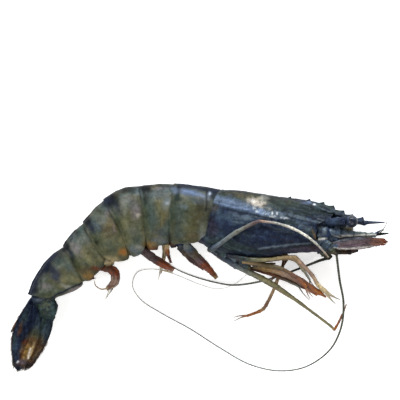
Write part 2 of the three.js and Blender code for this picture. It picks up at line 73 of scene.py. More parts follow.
# Upper and lower outline of the rostrum's blade, x and y, and the x of each tooth's tip.
ROSTRUM_TOP = [(12, 10.2), (20, 10.4), (27, 9.6), (33.8, 8.7), (40.5, 6.8), (47.7, 3.4), (52.2, 1.7),
               (57.1, 0.5), (65.2, 0)]
ROSTRUM_BOTTOM = [(12, 5), (27, 3.5), (40.5, 1.8), (47.2, 0.4), (50.6, -1.2), (53.6, -1.1), (56, -1.5),
                  (57.5, -0.8), (61, -0.5), (65.2, -0.15)]
TEETH = [22.9, 31.5, 37.8, 42.3, 46.8, 50.9, 55.4]
# Underside of the thorax: x, lower edge, upper edge, half breadth.
THORAX = [
    (-15.5, -10.4, -7.5, 2.6), (-12.6, -13.0, -7.5, 4.6), (-6.8, -16.2, -8.5, 5.4), (0, -18.0, -9.5, 5.6),
    (6.8, -17.6, -10.5, 5.4), (13.5, -15.4, -10.5, 5.0), (24, -13.6, -9.5, 4.6), (34, -12.8, -8.5, 3.6),
]

# ---------------------------------------------------------------- colours


def linear(rgb):
    """A colour given as 0 to 255 on a screen, as linear light."""
    c = np.asarray(rgb, float) / 255
    return np.where(c > 0.04045, ((c + 0.055) / 1.055) ** 2.4, c / 12.92)


# The glint, pale cream and sky blue colours are used for painted highlights.
PALETTE = {
    "black": (10, 12, 16), "deep": (19, 26, 43), "navy": (33, 43, 66), "slate": (60, 75, 92),
    "blue": (74, 92, 130),
    "sky": (120, 138, 168), "teal": (62, 78, 76), "pine": (44, 58, 48), "olive": (84, 88, 68),
    "moss": (54, 58, 36),
    "khaki": (104, 98, 66), "umber": (86, 74, 50), "highlight_cream": (206, 194, 178), "glint": (226, 232, 236),
    "lilac": (128, 118, 122), "purple": (62, 54, 70), "plum": (92, 76, 80), "rust": (104, 52, 28),
    "ember": (132, 64, 32), "maroon": (70, 38, 34), "wine": (48, 26, 28), "amber": (128, 100, 54),
    "tan": (150, 126, 92),
    "bone": (208, 204, 192), "pink": (152, 126, 108), "grey": (108, 112, 104), "mist": (108, 120, 130),
    "orange": (150, 88, 38), "brown": (76, 52, 34), "dark": (32, 34, 32), "feeler": (78, 82, 70),
    "flesh": (150, 148, 126),
    "fade": (150, 150, 142), "straw": (188, 168, 128),
    "bottle": (24, 40, 38), "sand": (124, 118, 84), "mauve": (72, 56, 56), "clay": (104, 68, 54),
}
PALETTE = {name: linear(rgb) for name, rgb in PALETTE.items()}


def spot(u, v):
    """A place on the drawing grid as x and y in millimetres."""
    return GRID_MM * (u - GRID_ORIGIN[0]), GRID_MM * (GRID_ORIGIN[1] - v)


# ---------------------------------------------------------------- numbers over arrays


def lattice(ix, iy, iz, seed):
    h = (ix * 374761393 + iy * 668265263 + iz * 2147483647 + seed * 1274126177) & 0xFFFFFFFF
    h = ((h ^ (h >> 13)) * 1274126177) & 0xFFFFFFFF
    return ((h ^ (h >> 16)) & 0xFFFF) / 65535


def noise(p, size, seed=0, octaves=3):
    """Smooth noise, about -1 to 1, at points p in millimetres, with features of the given size."""
    total, weight = np.zeros(p.shape[:-1]), 0
    for octave in range(octaves):
        q = p * 2 ** octave / size
        cell = np.floor(q).astype(np.int64)
        f = q - cell
        f = f * f * (3 - 2 * f)
        value = 0
        for dx in (0, 1):
            for dy in (0, 1):
                for dz in (0, 1):
                    w = np.where(dx, f[..., 0], 1 - f[..., 0]) * np.where(dy, f[..., 1], 1 - f[..., 1]) \
                        * np.where(dz, f[..., 2], 1 - f[..., 2])
                    corner = (cell[..., 0] + dx, cell[..., 1] + dy, cell[..., 2] + dz)
                    value = value + w * lattice(*corner, seed + octave)
        total += (2 * value - 1) * 0.5 ** octave
        weight += 0.5 ** octave
    return 1.6 * total / weight


def smoothstep(x, a, b):
    t = np.clip((np.asarray(x, float) - a) / (b - a), 0, 1)
    return t * t * (3 - 2 * t)


def lerp(a, b, t):
    return a + (b - a) * t


def hill(x, centre, breadth):
    """A smooth rise to 1 at the centre and down again."""
    return np.exp(-((x - centre) / breadth) ** 2)


def toward(colour, name, share):
    """Colour drawn towards one of the palette, by a share for each point."""
    return lerp(colour, PALETTE[name], share[..., None])


def smooth_rows(rows, t):
    """Rows of numbers at places t along them: a uniform Catmull-Rom curve, straight on beyond its ends."""
    rows = np.asarray(rows, float)
    n = len(rows) - 1
    place = np.clip(t * n, 0, n - 1e-9)
    i = np.floor(place).astype(int)
    u = (place - i)[..., None]
    a, b, c, d = (rows[np.clip(i + k, 0, n)] for k in (-1, 0, 1, 2))
    value = 0.5 * (2 * b + (c - a) * u + (2 * a - 5 * b + 4 * c - d) * u ** 2 + (3 * b - a - 3 * c + d)
                   * u ** 3)
    over = (t * n - place)[..., None]
    slope = np.where(over < 0, rows[1] - rows[0], rows[-1] - rows[-2])
    return value + over * slope


def route_points(points, t):
    """A centripetal Catmull-Rom curve through points, at places t from 0 to 1, one equal share a stretch."""
    p = np.asarray(points, float)
    p = np.vstack([2 * p[0] - p[1], p, 2 * p[-1] - p[-2]])
    n = len(points) - 1
    place = np.clip(t * n, 0, n - 1e-9)
    i = np.floor(place).astype(int)
    u = (place - i)[:, None]
    x0, x1, x2, x3 = (p[i + k] for k in range(4))
    d0, d1, d2 = (np.maximum(np.linalg.norm(b - a, axis=1), 1e-4)[:, None] ** 0.5
                  for a, b in ((x0, x1), (x1, x2), (x2, x3)))
    m1 = ((x1 - x0) / d0 - (x2 - x0) / (d0 + d1) + (x2 - x1) / d1) * d1
    m2 = ((x2 - x1) / d1 - (x3 - x1) / (d1 + d2) + (x3 - x2) / d2) * d1
    return x1 + m1 * u + (3 * (x2 - x1) - 2 * m1 - m2) * u ** 2 + (2 * (x1 - x2) + m1 + m2) * u ** 3


def path_distance(x, y, path):
    """Distance of x, y to a line of straight stretches, how far along it from 0 to 1 the nearest point is,
    and on which side x, y lies. Above it in y is positive for a line that runs to +X."""
    path = np.asarray(path, float)
    best, along, side = np.full(np.shape(x), 1e9), np.zeros(np.shape(x)), np.zeros(np.shape(x))
    for k, (a, b) in enumerate(zip(path, path[1:])):
        d = b - a
        t = np.clip(((x - a[0]) * d[0] + (y - a[1]) * d[1]) / (d @ d), 0, 1)
        dist = np.hypot(x - a[0] - t * d[0], y - a[1] - t * d[1])
        closer = dist < best
        best = np.where(closer, dist, best)
        along = np.where(closer, (k + t) / (len(path) - 1), along)
        side = np.where(closer, np.sign(d[0] * (y - a[1]) - d[1] * (x - a[0])), side)
    return best, along, side


# ---------------------------------------------------------------- meshes


def make_mesh(name, points, faces, material, pigment_and_painted_light, stands_for=()):
    """A mesh object of the prawn. faces is a list of index arrays, each of triangles or quads."""
    me = bpy.data.meshes.new(name)
    points = np.asarray(points, float).reshape(-1, 3)
    corners = np.concatenate([f.reshape(-1) for f in faces]).astype(np.int32)
    totals = np.concatenate([np.full(len(f), f.shape[1]) for f in faces]).astype(np.int32)
    me.vertices.add(len(points))
    me.vertices.foreach_set("co", (points * MM).astype(np.float32).reshape(-1))
    me.loops.add(len(corners))
    me.loops.foreach_set("vertex_index", corners)
    me.polygons.add(len(totals))
    me.polygons.foreach_set("loop_start", np.concatenate([[0], np.cumsum(totals)[:-1]]).astype(np.int32))
    me.polygons.foreach_set("loop_total", totals)
    me.polygons.foreach_set("use_smooth", np.full(len(totals), True))
    me.update(calc_edges=True)
    me.validate()
    # The colour attribute holds each part's colours, with painted highlights and shade on some parts.
    layer = me.attributes.new("pigment_and_painted_light", "FLOAT_COLOR", "POINT")
    colour = np.ones((len(points), 4), np.float32)
    colour[:, :3] = np.clip(np.asarray(pigment_and_painted_light, float).reshape(-1, 3), 0.002, 1)
    layer.data.foreach_set("color", colour.reshape(-1))
    me.materials.append(material)
    obj = bpy.data.objects.new(name, me)
    bpy.context.scene.collection.objects.link(obj)
    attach(obj, "root")
    if stands_for:
        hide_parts(*stands_for)
    return obj


def grid_faces(rows, sides):
    r, k = np.meshgrid(np.arange(rows - 1), np.arange(sides), indexing="ij")
    a, b = r * sides + k, r * sides + (k + 1) % sides
    return np.stack([a, b, b + sides, a + sides], -1).reshape(-1, 4)


def cap_faces(first, sides, centre, turned):
    k = np.arange(sides)
    a, b = first + k, first + (k + 1) % sides
    return np.stack([b, a, np.full(sides, centre)] if turned else [a, b, np.full(sides, centre)], -1)


def solid_grid(grid):
    """Points and faces of a closed solid from rings of points, facing out."""
    rows, sides = grid.shape[:2]
    points = np.vstack([grid.reshape(-1, 3), grid[0].mean(0), grid[-1].mean(0)])
    n = rows * sides
    faces = [grid_faces(rows, sides), cap_faces(0, sides, n, True), cap_faces(n - sides, sides, n + 1, False)]
    quad = faces[0]
    a, b, c, d = (points[quad[:, k]] for k in range(4))
    volume = np.einsum("ij,ij->i", a, np.cross(b, c) + np.cross(c, d)).sum()
    if volume < 0:
        faces = [f[:, ::-1] for f in faces]
    return points, faces


def grid_normals(grid):
    along = np.gradient(grid, axis=0)
    around = (np.roll(grid, -1, 1) - np.roll(grid, 1, 1)) / 2
    normal = np.cross(along, around)
    normal /= np.maximum(np.linalg.norm(normal, axis=-1, keepdims=True), 1e-9)
    outward = grid - grid.mean(1, keepdims=True)
    if (normal * outward).sum() < 0:
        normal = -normal
    return normal


def around(count):
    """Even angles round a ring."""
    return np.arange(count) / count * 2 * math.pi


def with_ends(values, grid_shape):
    """Per-point values of a grid, with one more for each of the two cap centres of solid_grid."""
    values = np.asarray(values, float)
    flat = values.reshape(grid_shape[0] * grid_shape[1], -1)
    ends = [values.reshape(grid_shape[0], grid_shape[1], -1)[k].mean(0) for k in (0, -1)]
    return np.vstack([flat, ends])


def grid_part(grid, colour):
    """A closed solid with its colours, ready to be joined with others."""
    return (*solid_grid(grid), with_ends(np.broadcast_to(colour, grid.shape), grid.shape))


def grid_mesh(name, grid, colour, material, stands_for=()):
    points, faces, values = grid_part(grid, colour)
    return make_mesh(name, points, faces, material, values, stands_for)


def joined_mesh(name, parts, material, stands_for=(), lowest=None):
    """Several parts as one mesh, kept above the given height."""
    points, faces, values = join(parts)
    if lowest is not None:
        points[:, 2] = np.maximum(points[:, 2], lowest)
    return make_mesh(name, points, faces, material, values, stands_for)


# ---------------------------------------------------------------- materials


def node_tree(name):
    m = bpy.data.materials.new(name)
    m.use_nodes = True
    nodes, links = m.node_tree.nodes, m.node_tree.links
    nodes.clear()
    out = nodes.new("ShaderNodeOutputMaterial")
    shader = nodes.new("ShaderNodeBsdfPrincipled")
    links.new(shader.outputs["BSDF"], out.inputs["Surface"])
    return m, nodes, links, shader


def math_node(nodes, links, operation, a, b):
    n = nodes.new("ShaderNodeMath")
    n.operation = operation
    for socket, value in ((n.inputs[0], a), (n.inputs[1], b)):
        if isinstance(value, (int, float)):
            socket.default_value = value
        else:
            links.new(value, socket)
    return n.outputs[0]


def noise_node(nodes, links, coordinates, size_mm, detail=4, roughness=0.6, distortion=0.0):
    n = nodes.new("ShaderNodeTexNoise")
    n.inputs["Scale"].default_value = 1 / (size_mm * MM)
    n.inputs["Detail"].default_value = detail
    n.inputs["Roughness"].default_value = roughness
    n.inputs["Distortion"].default_value = distortion
    links.new(coordinates, n.inputs["Vector"])
    return n.outputs["Fac"]


def range_node(nodes, links, value, low, high, to_low, to_high):
    n = nodes.new("ShaderNodeMapRange")
    n.clamp = True
    links.new(value, n.inputs["Value"])
    for socket, number in zip(("From Min", "From Max", "To Min", "To Max"), (low, high, to_low, to_high)):
        n.inputs[socket].default_value = number
    return n.outputs["Result"]


def mix_colour(nodes, links, factor, a, b):
    n = nodes.new("ShaderNodeMix")
    n.data_type = "RGBA"
    n.blend_type = "MIX"
    n.clamp_factor = True
    for socket, value in ((n.inputs[0], factor), (n.inputs[6], a), (n.inputs[7], b)):
        if isinstance(value, (int, float)):
            socket.default_value = value
        elif isinstance(value, (tuple, np.ndarray)):
            socket.default_value = (*value, 1)
        else:
            links.new(value, socket)
    return n.outputs[2]


def cuticle(name, rough=0.32, coat=0.35, coat_rough=0.12, specular=0.25, patch=0.35, patch_mm=3.0, speck=0.4,
            speck_mm=0.5, bump=0.3, bump_mm=0.5):
    """Wet shell: the mesh's own colour attribute, which on some parts holds painted highlights and shade,
    mottled in patches and fine specks, under a thin wet film.
    """
    m, nodes, links, shader = node_tree(name)
    place = nodes.new("ShaderNodeTexCoord").outputs["Object"]
    pigment_and_painted_light = nodes.new("ShaderNodeAttribute")
    pigment_and_painted_light.attribute_name = "pigment_and_painted_light"
    colour = pigment_and_painted_light.outputs["Color"]
    patches = noise_node(nodes, links, place, patch_mm, 5, 0.65, 0.5)
    lift = range_node(nodes, links, patches, 0.30, 0.70, 1 - patch, 1 + patch)
    grains = noise_node(nodes, links, place, patch_mm * 0.22, 3, 0.6)
    lift = math_node(nodes, links, "MULTIPLY", lift,
                     range_node(nodes, links, grains, 0.3, 0.7, 1 - 0.6 * patch, 1 + 0.6 * patch))
    scaled = nodes.new("ShaderNodeVectorMath")
    scaled.operation = "SCALE"
    links.new(colour, scaled.inputs[0])
    links.new(lift, scaled.inputs["Scale"])
    cells = nodes.new("ShaderNodeTexVoronoi")
    cells.inputs["Scale"].default_value = 1 / (speck_mm * MM)
    links.new(place, cells.inputs["Vector"])
    sparse = noise_node(nodes, links, place, speck_mm * 5, 2)
    dots = range_node(nodes, links, cells.outputs["Distance"], 0.12, 0.36, speck, 0.0)
    dots = math_node(nodes, links, "MULTIPLY", dots, range_node(nodes, links, sparse, 0.42, 0.6, 0.0, 1.0))
    speckled = mix_colour(nodes, links, dots, scaled.outputs["Vector"], tuple(PALETTE["deep"]))
    links.new(speckled, shader.inputs["Base Color"])
    gloss = noise_node(nodes, links, place, patch_mm * 0.7, 4)
    links.new(range_node(nodes, links, gloss, 0.3, 0.7, rough * 0.8, rough * 1.35),
              shader.inputs["Roughness"])
    shader.inputs["Specular IOR Level"].default_value = specular
    shader.inputs["Coat Weight"].default_value = coat
    shader.inputs["Coat Roughness"].default_value = coat_rough
    shader.inputs["Coat IOR"].default_value = 1.38
    fine = noise_node(nodes, links, place, bump_mm, 5, 0.65)
    coarse = noise_node(nodes, links, place, bump_mm * 5, 3)
    height = math_node(nodes, links, "ADD", fine, math_node(nodes, links, "MULTIPLY", coarse, 2.5))
    relief = nodes.new("ShaderNodeBump")
    relief.inputs["Strength"].default_value = bump
    relief.inputs["Distance"].default_value = 0.0003
    links.new(height, relief.inputs["Height"])
    links.new(relief.outputs["Normal"], shader.inputs["Normal"])
    links.new(relief.outputs["Normal"], shader.inputs["Coat Normal"])
    return m


SHELL = cuticle("shell", rough=0.42, coat=0.24, coat_rough=0.08, specular=0.06, patch=0.55, patch_mm=2.0,
                bump=0.7)
RING = cuticle("ring", rough=0.42, coat=0.05, coat_rough=0.08, specular=0.04, patch=0.24, patch_mm=2.2,
               speck=0.28,
               bump=0.45)
HEAD = cuticle("head", rough=0.42, coat=0.18, coat_rough=0.08, specular=0.05, patch=0.45, patch_mm=2.0,
               speck_mm=0.35,
               bump=0.6)
LIMB = cuticle("limb", rough=0.40, coat=0.25, coat_rough=0.14, patch=0.36, patch_mm=1.2, speck=0.4,
               speck_mm=0.3,
               bump_mm=0.3)
PADDLE = cuticle("paddle", rough=0.42, coat=0.2, coat_rough=0.18, patch=0.45, patch_mm=1.2, speck=0.5,
                 speck_mm=0.35,
                 bump_mm=0.3)
TAIL = cuticle("tail", rough=0.42, coat=0.08, coat_rough=0.08, specular=0.04, patch=0.6, patch_mm=1.6,
               speck=0.3,
               speck_mm=0.35)
EYE = cuticle("eye", rough=0.3, coat=0.5, coat_rough=0.1, patch=0.35, patch_mm=1.2, speck=0.3, speck_mm=0.16,
              bump=0.2, bump_mm=0.25)
BELLY = cuticle("belly", rough=0.45, coat=0.15, coat_rough=0.2, patch=0.5, patch_mm=1.6, speck=0.3, bump=0.6)
FEELER = cuticle("feeler", rough=0.55, coat=0.0, coat_rough=0.3, specular=0.15, patch=0.2, patch_mm=2.5,
                 speck=0.2,
                 speck_mm=0.25, bump=0.2, bump_mm=0.25)


def paint(points, base, marks, wobble=0.9, seed=3):
    """Base colour with blotches. A mark is its place and half sizes on the drawing grid, its turn in degrees,
    its colour and its strength. It shows on both sides of the prawn."""
    colour = np.array(np.broadcast_to(base, points.shape), float)
    x = points[..., 0] + wobble * (noise(points, 3.5, seed) + 0.4 * noise(points, 1.1, seed + 5))
    y = points[..., 1] + wobble * (noise(points, 3.5, seed + 20) + 0.4 * noise(points, 1.1, seed + 25))
    for u, v, half_u, half_v, turn, name, strength in marks:
        cx, cy = spot(u, v)
        a = math.radians(turn)
        dx, dy = x - cx, y - cy
        p = (dx * math.cos(a) - dy * math.sin(a)) / (GRID_MM * half_u)
        q = (dx * math.sin(a) + dy * math.cos(a)) / (GRID_MM * half_v)
        colour = toward(colour, name, strength * np.exp(-(p * p + q * q) ** 1.6))
    return colour


def paint_lines(points, colour, lines, wobble=0.25):
    """Thin streaks along lines of the drawing grid: path, half breadth in millimetres, colour, strength."""
    x = points[..., 0] + wobble * noise(points, 2.0, 4)
    y = points[..., 1] + wobble * noise(points, 2.0, 13)
    for path, breadth, name, strength in lines:
        d, _, _ = path_distance(x, y, [spot(*p) for p in path])
        colour = toward(colour, name, strength * hill(d, 0, breadth))
    return colour


def streaks(count, low, high, slope, length, names, strength):
    """Short streaks for paint_lines, strewn over a stretch of the drawing grid from low to high."""
    lines = []
    for _ in range(count):
        u, v = RNG.uniform(low, high)
        reach = RNG.uniform(*length)
        rise = reach * (slope + RNG.uniform(-0.12, 0.12))
        sway = RNG.uniform(-0.6, 0.6)
        path = [(u, v), (u + 0.5 * reach, v + 0.5 * rise + sway), (u + reach, v + rise)]
        lines.append((path, RNG.uniform(0.18, 0.4), names[RNG.integers(len(names))], RNG.uniform(*strength)))
    return lines


def tinge(points, colour, size, seed, amounts):
    """Drifts of other colours, each where its own noise is high: (colour, strength) pairs."""
    for k, (name, strength) in enumerate(amounts):
        colour = toward(colour, name, strength * smoothstep(noise(points, size, seed + 7 * k), 0.0, 0.7))
    return colour


def ramp(t, stops):
    """Colour by place along a piece: (place, palette name) stops, smooth between."""
    places = [s[0] for s in stops]
    colours = np.array([PALETTE[s[1]] for s in stops])
    return np.stack([np.interp(t, places, colours[:, k]) for k in range(3)], -1)


# ---------------------------------------------------------------- sections of the trunk


def section(angle, half_depth, half_width, recess=RECESS):
    """The trunk's outline: how far up from the middle and how far to the side, at an angle from the back."""
    c, s = np.cos(angle), np.sin(angle)
    side = np.sign(s) * np.abs(s) ** 0.86 * half_width
    bay = np.maximum(0, 1 - (side / (0.6 * half_width)) ** 2)
    up = np.where(c >= 0, half_depth * np.maximum(c, 0) ** 0.95,
                  -1.08 * half_depth * np.maximum(-c, 0) ** 0.4 + recess * bay)
    return up, side


def even_angles(count):
    """Angles round a section, about equally far apart on its outline. They start at the back and go round by
    the right side."""
    fine = np.linspace(0, 2 * math.pi, 6001)
    up, side = section(fine, 14, 10.5)
    length = np.concatenate([[0], np.cumsum(np.hypot(np.diff(up), np.diff(side)))])
    return np.interp(np.arange(count) / count * length[-1], length, fine)


def trunk(x, y, tilt, depth, width, middle, angle, recess=RECESS, slim=1.0):
    """Points of the trunk's outline, set at x, y and tilted in the plane of the table."""
    up, side = section(angle, depth / 2, width, recess)
    lean = np.radians(tilt)
    return np.stack([x - np.sin(lean) * up, y + np.cos(lean) * up, middle + side * slim], -1)


def settle(points):
    """The resting side is flattened by the table."""
    points[..., 2] = np.maximum(points[..., 2], 0)
    return points


# ---------------------------------------------------------------- shield

SHIELD_ANGLES = even_angles(236)
# How far the rear edge of the shield and of each ring bows to the head, at the upper, middle and lower flank.
BOWS = [(0, 1.2, 3.4), (-0.4, -1.2, -0.6), (0.4, 0.6, 0.2), (0.7, 1.3, 0.6), (-0.6, -0.9, -0.4),
        (0.5, 0.9, 0.1),
        (0, -0.5, 0)]


def bow_at(index, up_share):
    upper, middle, lower = BOWS[index]
    return np.interp(up_share, [-1.1, -0.75, 0.0, 0.6, 1.0], [0, lower, middle, upper, 0])


def shield_grid(places, inset=0.0):
    t = np.asarray(places)[:, None] + 0 * SHIELD_ANGLES[None]
    angle = SHIELD_ANGLES[None] + 0 * t
    from_back = np.degrees(np.minimum(angle, 2 * math.pi - angle))
    reach = 1 - SOCKET_DEPTH * hill(from_back, SOCKET_ANGLE, SOCKET_SPREAD)
    row = smooth_rows(SHIELD, t * reach)
    # Towards the front the back of the shield narrows into the rostrum.
    slim = 1 - 0.55 * smoothstep(t, 0.62, 1.0) * smoothstep(np.cos(angle), 0.1, 0.85)
    grid = trunk(row[..., 0], row[..., 1], row[..., 2], row[..., 3] - 2 * inset, row[..., 4] - inset, MID,
                 angle,
                 slim=slim)
    along = np.subtract(SHIELD[1][:2], SHIELD[0][:2])
    bow = bow_at(0, section(angle, 1, 1, 0)[0]) * np.abs(np.sin(angle)) ** 0.5 * (1 - smoothstep(t, 0, 0.3))
    grid[..., :2] += bow[..., None] * along / np.linalg.norm(along)
    return grid, t, angle


# Ridges and grooves of the shield: path on the drawing grid, half breadth and height in millimetres.
SHIELD_RELIEF = [
    ([(258, 248.5), (272, 246.5), (292, 244.5), (308, 243), (322, 241)], 0.5, 0.35),
    ([(236, 249), (250, 253), (270, 253.5), (300, 250.5), (319, 250.5)], 0.8, 0.2),
    ([(262, 222), (270, 226), (280, 229), (292, 232)], 0.5, 0.22),
    ([(198, 195), (212, 199), (228, 203), (244, 206.5), (262, 212), (280, 216)], 1.6, 0.22),
    ([(292, 203), (286, 209), (279, 215), (270, 221), (262, 226), (252, 228)], 0.8, -0.22),
    ([(276, 222), (286, 223), (298, 225), (312, 230)], 0.6, -0.24),
    ([(296, 236), (308, 235), (320, 236)], 0.5, 0.22),
    ([(288, 205), (298, 207.5), (311, 210), (324, 213), (333, 215)], 0.7, -0.22),
    ([(292, 202), (300, 204), (312, 206.5), (324, 209.5)], 0.5, 0.16),
    ([(296, 211), (308, 213.5), (322, 216.5), (332, 219)], 0.5, 0.2),
    ([(300, 215), (311, 217), (322, 220)], 0.6, 0.24),
    ([(268, 232), (272, 240), (271, 247)], 0.6, -0.16),
]

places = np.concatenate([np.linspace(-0.03, 0.06, 26), np.linspace(0.065, 0.9, 170),
                         np.linspace(0.905, 1.0, 40)])
grid, t, angle = shield_grid(places)
normal = grid_normals(grid)
x, y = grid[..., 0], grid[..., 1]
flank = smoothstep(np.abs(np.sin(angle)), 0.15, 0.5)
relief = 0.0
for path, breadth, height in SHIELD_RELIEF:
    d, along, _ = path_distance(x, y, [spot(*p) for p in path])
    fade = smoothstep(along, 0, 0.12) * smoothstep(1 - along, 0, 0.12)
    relief = relief + height * (0.25 + 0.75 * fade) * hill(d, 0, breadth) * flank
STEP_UNDER_BAND = [(200, 199.5), (214, 203.5), (230, 207.5), (248, 211.5), (262, 216), (280, 220), (296, 222)]
d, along, above = path_distance(x, y, [spot(*p) for p in STEP_UNDER_BAND])
step = smoothstep(d * above, -0.5, 0.3) * (1 - smoothstep(d * above, 1.0, 5.0)) * smoothstep(along, 0, 0.1)
relief = relief + 0.22 * step * smoothstep(1 - along, 0, 0.3) * flank
turn = np.minimum(angle, 2 * math.pi - angle)
# The keel behind the rostrum.
relief += 0.55 * hill(turn, 0, 0.11) * smoothstep(t, 0.25, 0.7)
relief += 0.16 * hill(t, 0.014, 0.016) - 0.14 * hill(t, 0.05, 0.02)
relief += 0.14 * noise(grid, 5, 11) + 0.07 * noise(grid, 1.6, 12)
# Rougher towards the head.
relief += 0.16 * smoothstep(t, 0.5, 0.8) * noise(grid, 1.8, 13)
grid = grid + normal * relief[..., None]
# The edges turn in: the rear one over the first ring, the front one round the head.
rear, _, _ = shield_grid([-0.028, -0.02, 0.0], inset=0.75)
front, _, _ = shield_grid([0.995, 0.97, 0.93, 0.88], inset=0.8)
front[1:] = front[1:].mean(1, keepdims=True) * 0.06 + front[1:] * 0.94
shield = settle(np.vstack([rear[::-1], grid, front]))
height_share = section(SHIELD_ANGLES, 1, 1, 0)[0][None] + np.zeros(shield.shape[:2])
k = height_share + 0.12 * noise(shield, 6, 31)
base = ramp(k, [(-1.1, "purple"), (-0.96, "navy"), (-0.7, "deep"), (-0.2, "navy"), (0.22, "navy"),
                (0.42, "slate"),
                (0.6, "teal"), (0.8, "pine"), (0.93, "moss"), (1.0, "deep")])
# Marks on the drawing grid, as paint takes them: place, half sizes, turn, colour and strength.
# The cream, glint and sky marks, and the broad mist one at (272, 214), are painted highlights of the wet
# shell; the deep mark at (212, 224) is painted shade along the shield's rear edge.
SHIELD_MARKS = [
    (236, 219, 26, 6, 9, "slate", 0.75), (246, 216, 18, 4, 9, "mist", 0.35),
    (212, 224, 5, 20, -14, "deep", 0.9), (228, 244, 22, 8, 14, "bottle", 0.8),
    (212, 240, 6, 7, 0, "bottle", 0.6), (222, 238, 4, 7, -25, "slate", 0.6),
    (252, 236, 36, 9, 2, "navy", 0.6), (284, 241, 30, 4, -4, "deep", 0.55),
    (268, 252, 30, 4, 2, "deep", 0.8), (303, 249.5, 20, 3.4, -2, "purple", 0.95),
    (316, 248.5, 8, 2.6, -2, "wine", 0.5), (290, 236, 20, 4, 4, "navy", 0.5),
    (304, 231, 8, 4, 10, "slate", 0.5), (242, 195, 24, 4.0, 4, "moss", 0.9),
    (238, 195, 12, 2.0, 5, "umber", 0.5), (228, 200, 16, 3, 10, "slate", 0.6),
    (257, 201, 13, 5.4, 8, "khaki", 0.8), (255, 201, 9, 4, 8, "highlight_cream", 0.9),
    (263, 203, 5.5, 4, 0, "highlight_cream", 0.65), (252, 200, 3, 1.2, 10, "glint", 0.4),
    (272, 199, 6, 4, 20, "moss", 0.9), (278, 205, 12, 5, 10, "pine", 0.9),
    (270, 207, 5, 3, 20, "slate", 0.6), (291, 204, 8, 4, 8, "moss", 0.8),
    (288, 203, 5, 1.8, 10, "khaki", 0.4), (283, 199, 6, 2, 10, "dark", 0.8),
    (297, 213, 10, 5, 20, "pine", 0.9), (286, 210, 4, 2.4, 10, "dark", 0.8),
    (283, 214, 8, 3, 10, "slate", 0.6), (306, 202.5, 8, 3.2, 10, "blue", 0.9),
    (303, 200, 3, 1.4, 10, "deep", 0.8), (313, 204, 4, 1.6, 10, "sky", 0.7),
    (321, 206, 7, 2.6, 18, "teal", 0.7), (318, 210.5, 12, 2.5, 14, "deep", 0.8),
    (330, 211, 6, 2.4, 20, "navy", 0.8), (310, 208, 3, 2, 10, "black", 0.7),
    (300, 206, 3, 2.4, 40, "deep", 0.8), (308, 213, 14, 2.0, 12, "teal", 0.5),
    (312, 215.5, 14, 2.2, 12, "black", 0.6), (300, 220, 18, 4, 6, "slate", 0.5),
    (292, 222, 12, 3, 8, "mist", 0.3), (310, 218, 6, 4, 0, "navy", 0.7), (319, 226, 5, 4, 0, "black", 0.9),
    (328, 218, 12, 4, 8, "deep", 0.8), (272, 214, 15, 3.6, 14, "mist", 0.7),
    (262, 210.5, 8, 3, 16, "sky", 0.4), (266, 224, 10, 4, 30, "navy", 0.6),
    (298, 216, 10, 2.2, 10, "mist", 0.5), (302, 226.5, 7, 3.2, 12, "mist", 0.42),
    (292, 207, 7, 4, 8, "teal", 0.4), (322, 215.5, 8, 2.6, 16, "deep", 0.6),
    (285, 224, 8, 3, 10, "teal", 0.4), (310, 233, 4, 5, 0, "teal", 0.35),
    (238, 195, 20, 3.4, 4, "dark", 0.25), (304, 211, 7, 2.4, 12, "bottle", 0.6),
]
pigment_and_painted_light = tinge(shield, base, 2.4, 200, [("deep", 0.5), ("teal", 0.3), ("slate", 0.25)])
pigment_and_painted_light = paint(shield, pigment_and_painted_light, SHIELD_MARKS)
pigment_and_painted_light = tinge(shield, pigment_and_painted_light, 1.1, 240, [("deep", 0.4), ("teal", 0.15)])
# The two sky lines are a painted highlight band along the upper flank, and the deep line below them is
# painted shade under the step there.
pigment_and_painted_light = paint_lines(shield, pigment_and_painted_light, [
    ([(198, 192), (212, 197), (230, 202), (246, 206), (262, 212)], 1.5, "sky", 0.5),
    ([(205, 199), (218, 203), (234, 207), (250, 210), (262, 214)], 0.5, "sky", 0.75),
    ([(205, 203), (218, 207), (234, 211), (250, 214), (262, 217.5), (284, 221)], 0.55, "deep", 0.85),
    ([(222, 191), (240, 191.5), (262, 195.5), (275, 198.5), (290, 198.5), (312, 202)], 0.6, "black", 0.8),
    ([(258, 248.5), (272, 246.5), (292, 244.5), (308, 243), (322, 241)], 0.4, "mist", 0.55),
    ([(266, 250.5), (290, 247), (310, 245.5), (322, 244)], 0.4, "black", 0.6),
    ([(262, 222), (270, 226), (280, 229), (292, 232)], 0.45, "slate", 0.6),
    ([(260, 226), (272, 230), (286, 233.5)], 0.6, "black", 0.5),
    ([(288, 205), (298, 207.5), (311, 210), (324, 213), (333, 215)], 0.5, "black", 0.6),
    ([(300, 219), (312, 221), (326, 224)], 0.5, "mist", 0.35),
    ([(284, 222), (298, 225.5), (312, 231)], 0.6, "deep", 0.7),
    ([(312, 226), (309, 236), (312, 246)], 0.7, "black", 0.7),
    ([(312, 231), (315, 238)], 0.6, "amber", 0.7),
    ([(215, 214), (207, 228), (200, 241)], 0.5, "black", 0.6),
    ([(218, 246), (236, 251), (250, 255), (270, 257)], 0.6, "black", 0.6),
    ([(216, 238), (226, 245), (240, 250)], 0.5, "teal", 0.45),
    ([(222, 236), (236, 244), (252, 249)], 0.4, "teal", 0.3),
    ([(200, 243), (216, 251), (240, 256)], 0.5, "teal", 0.4),
])
DARK = ["black", "deep", "pine", "dark", "deep"]
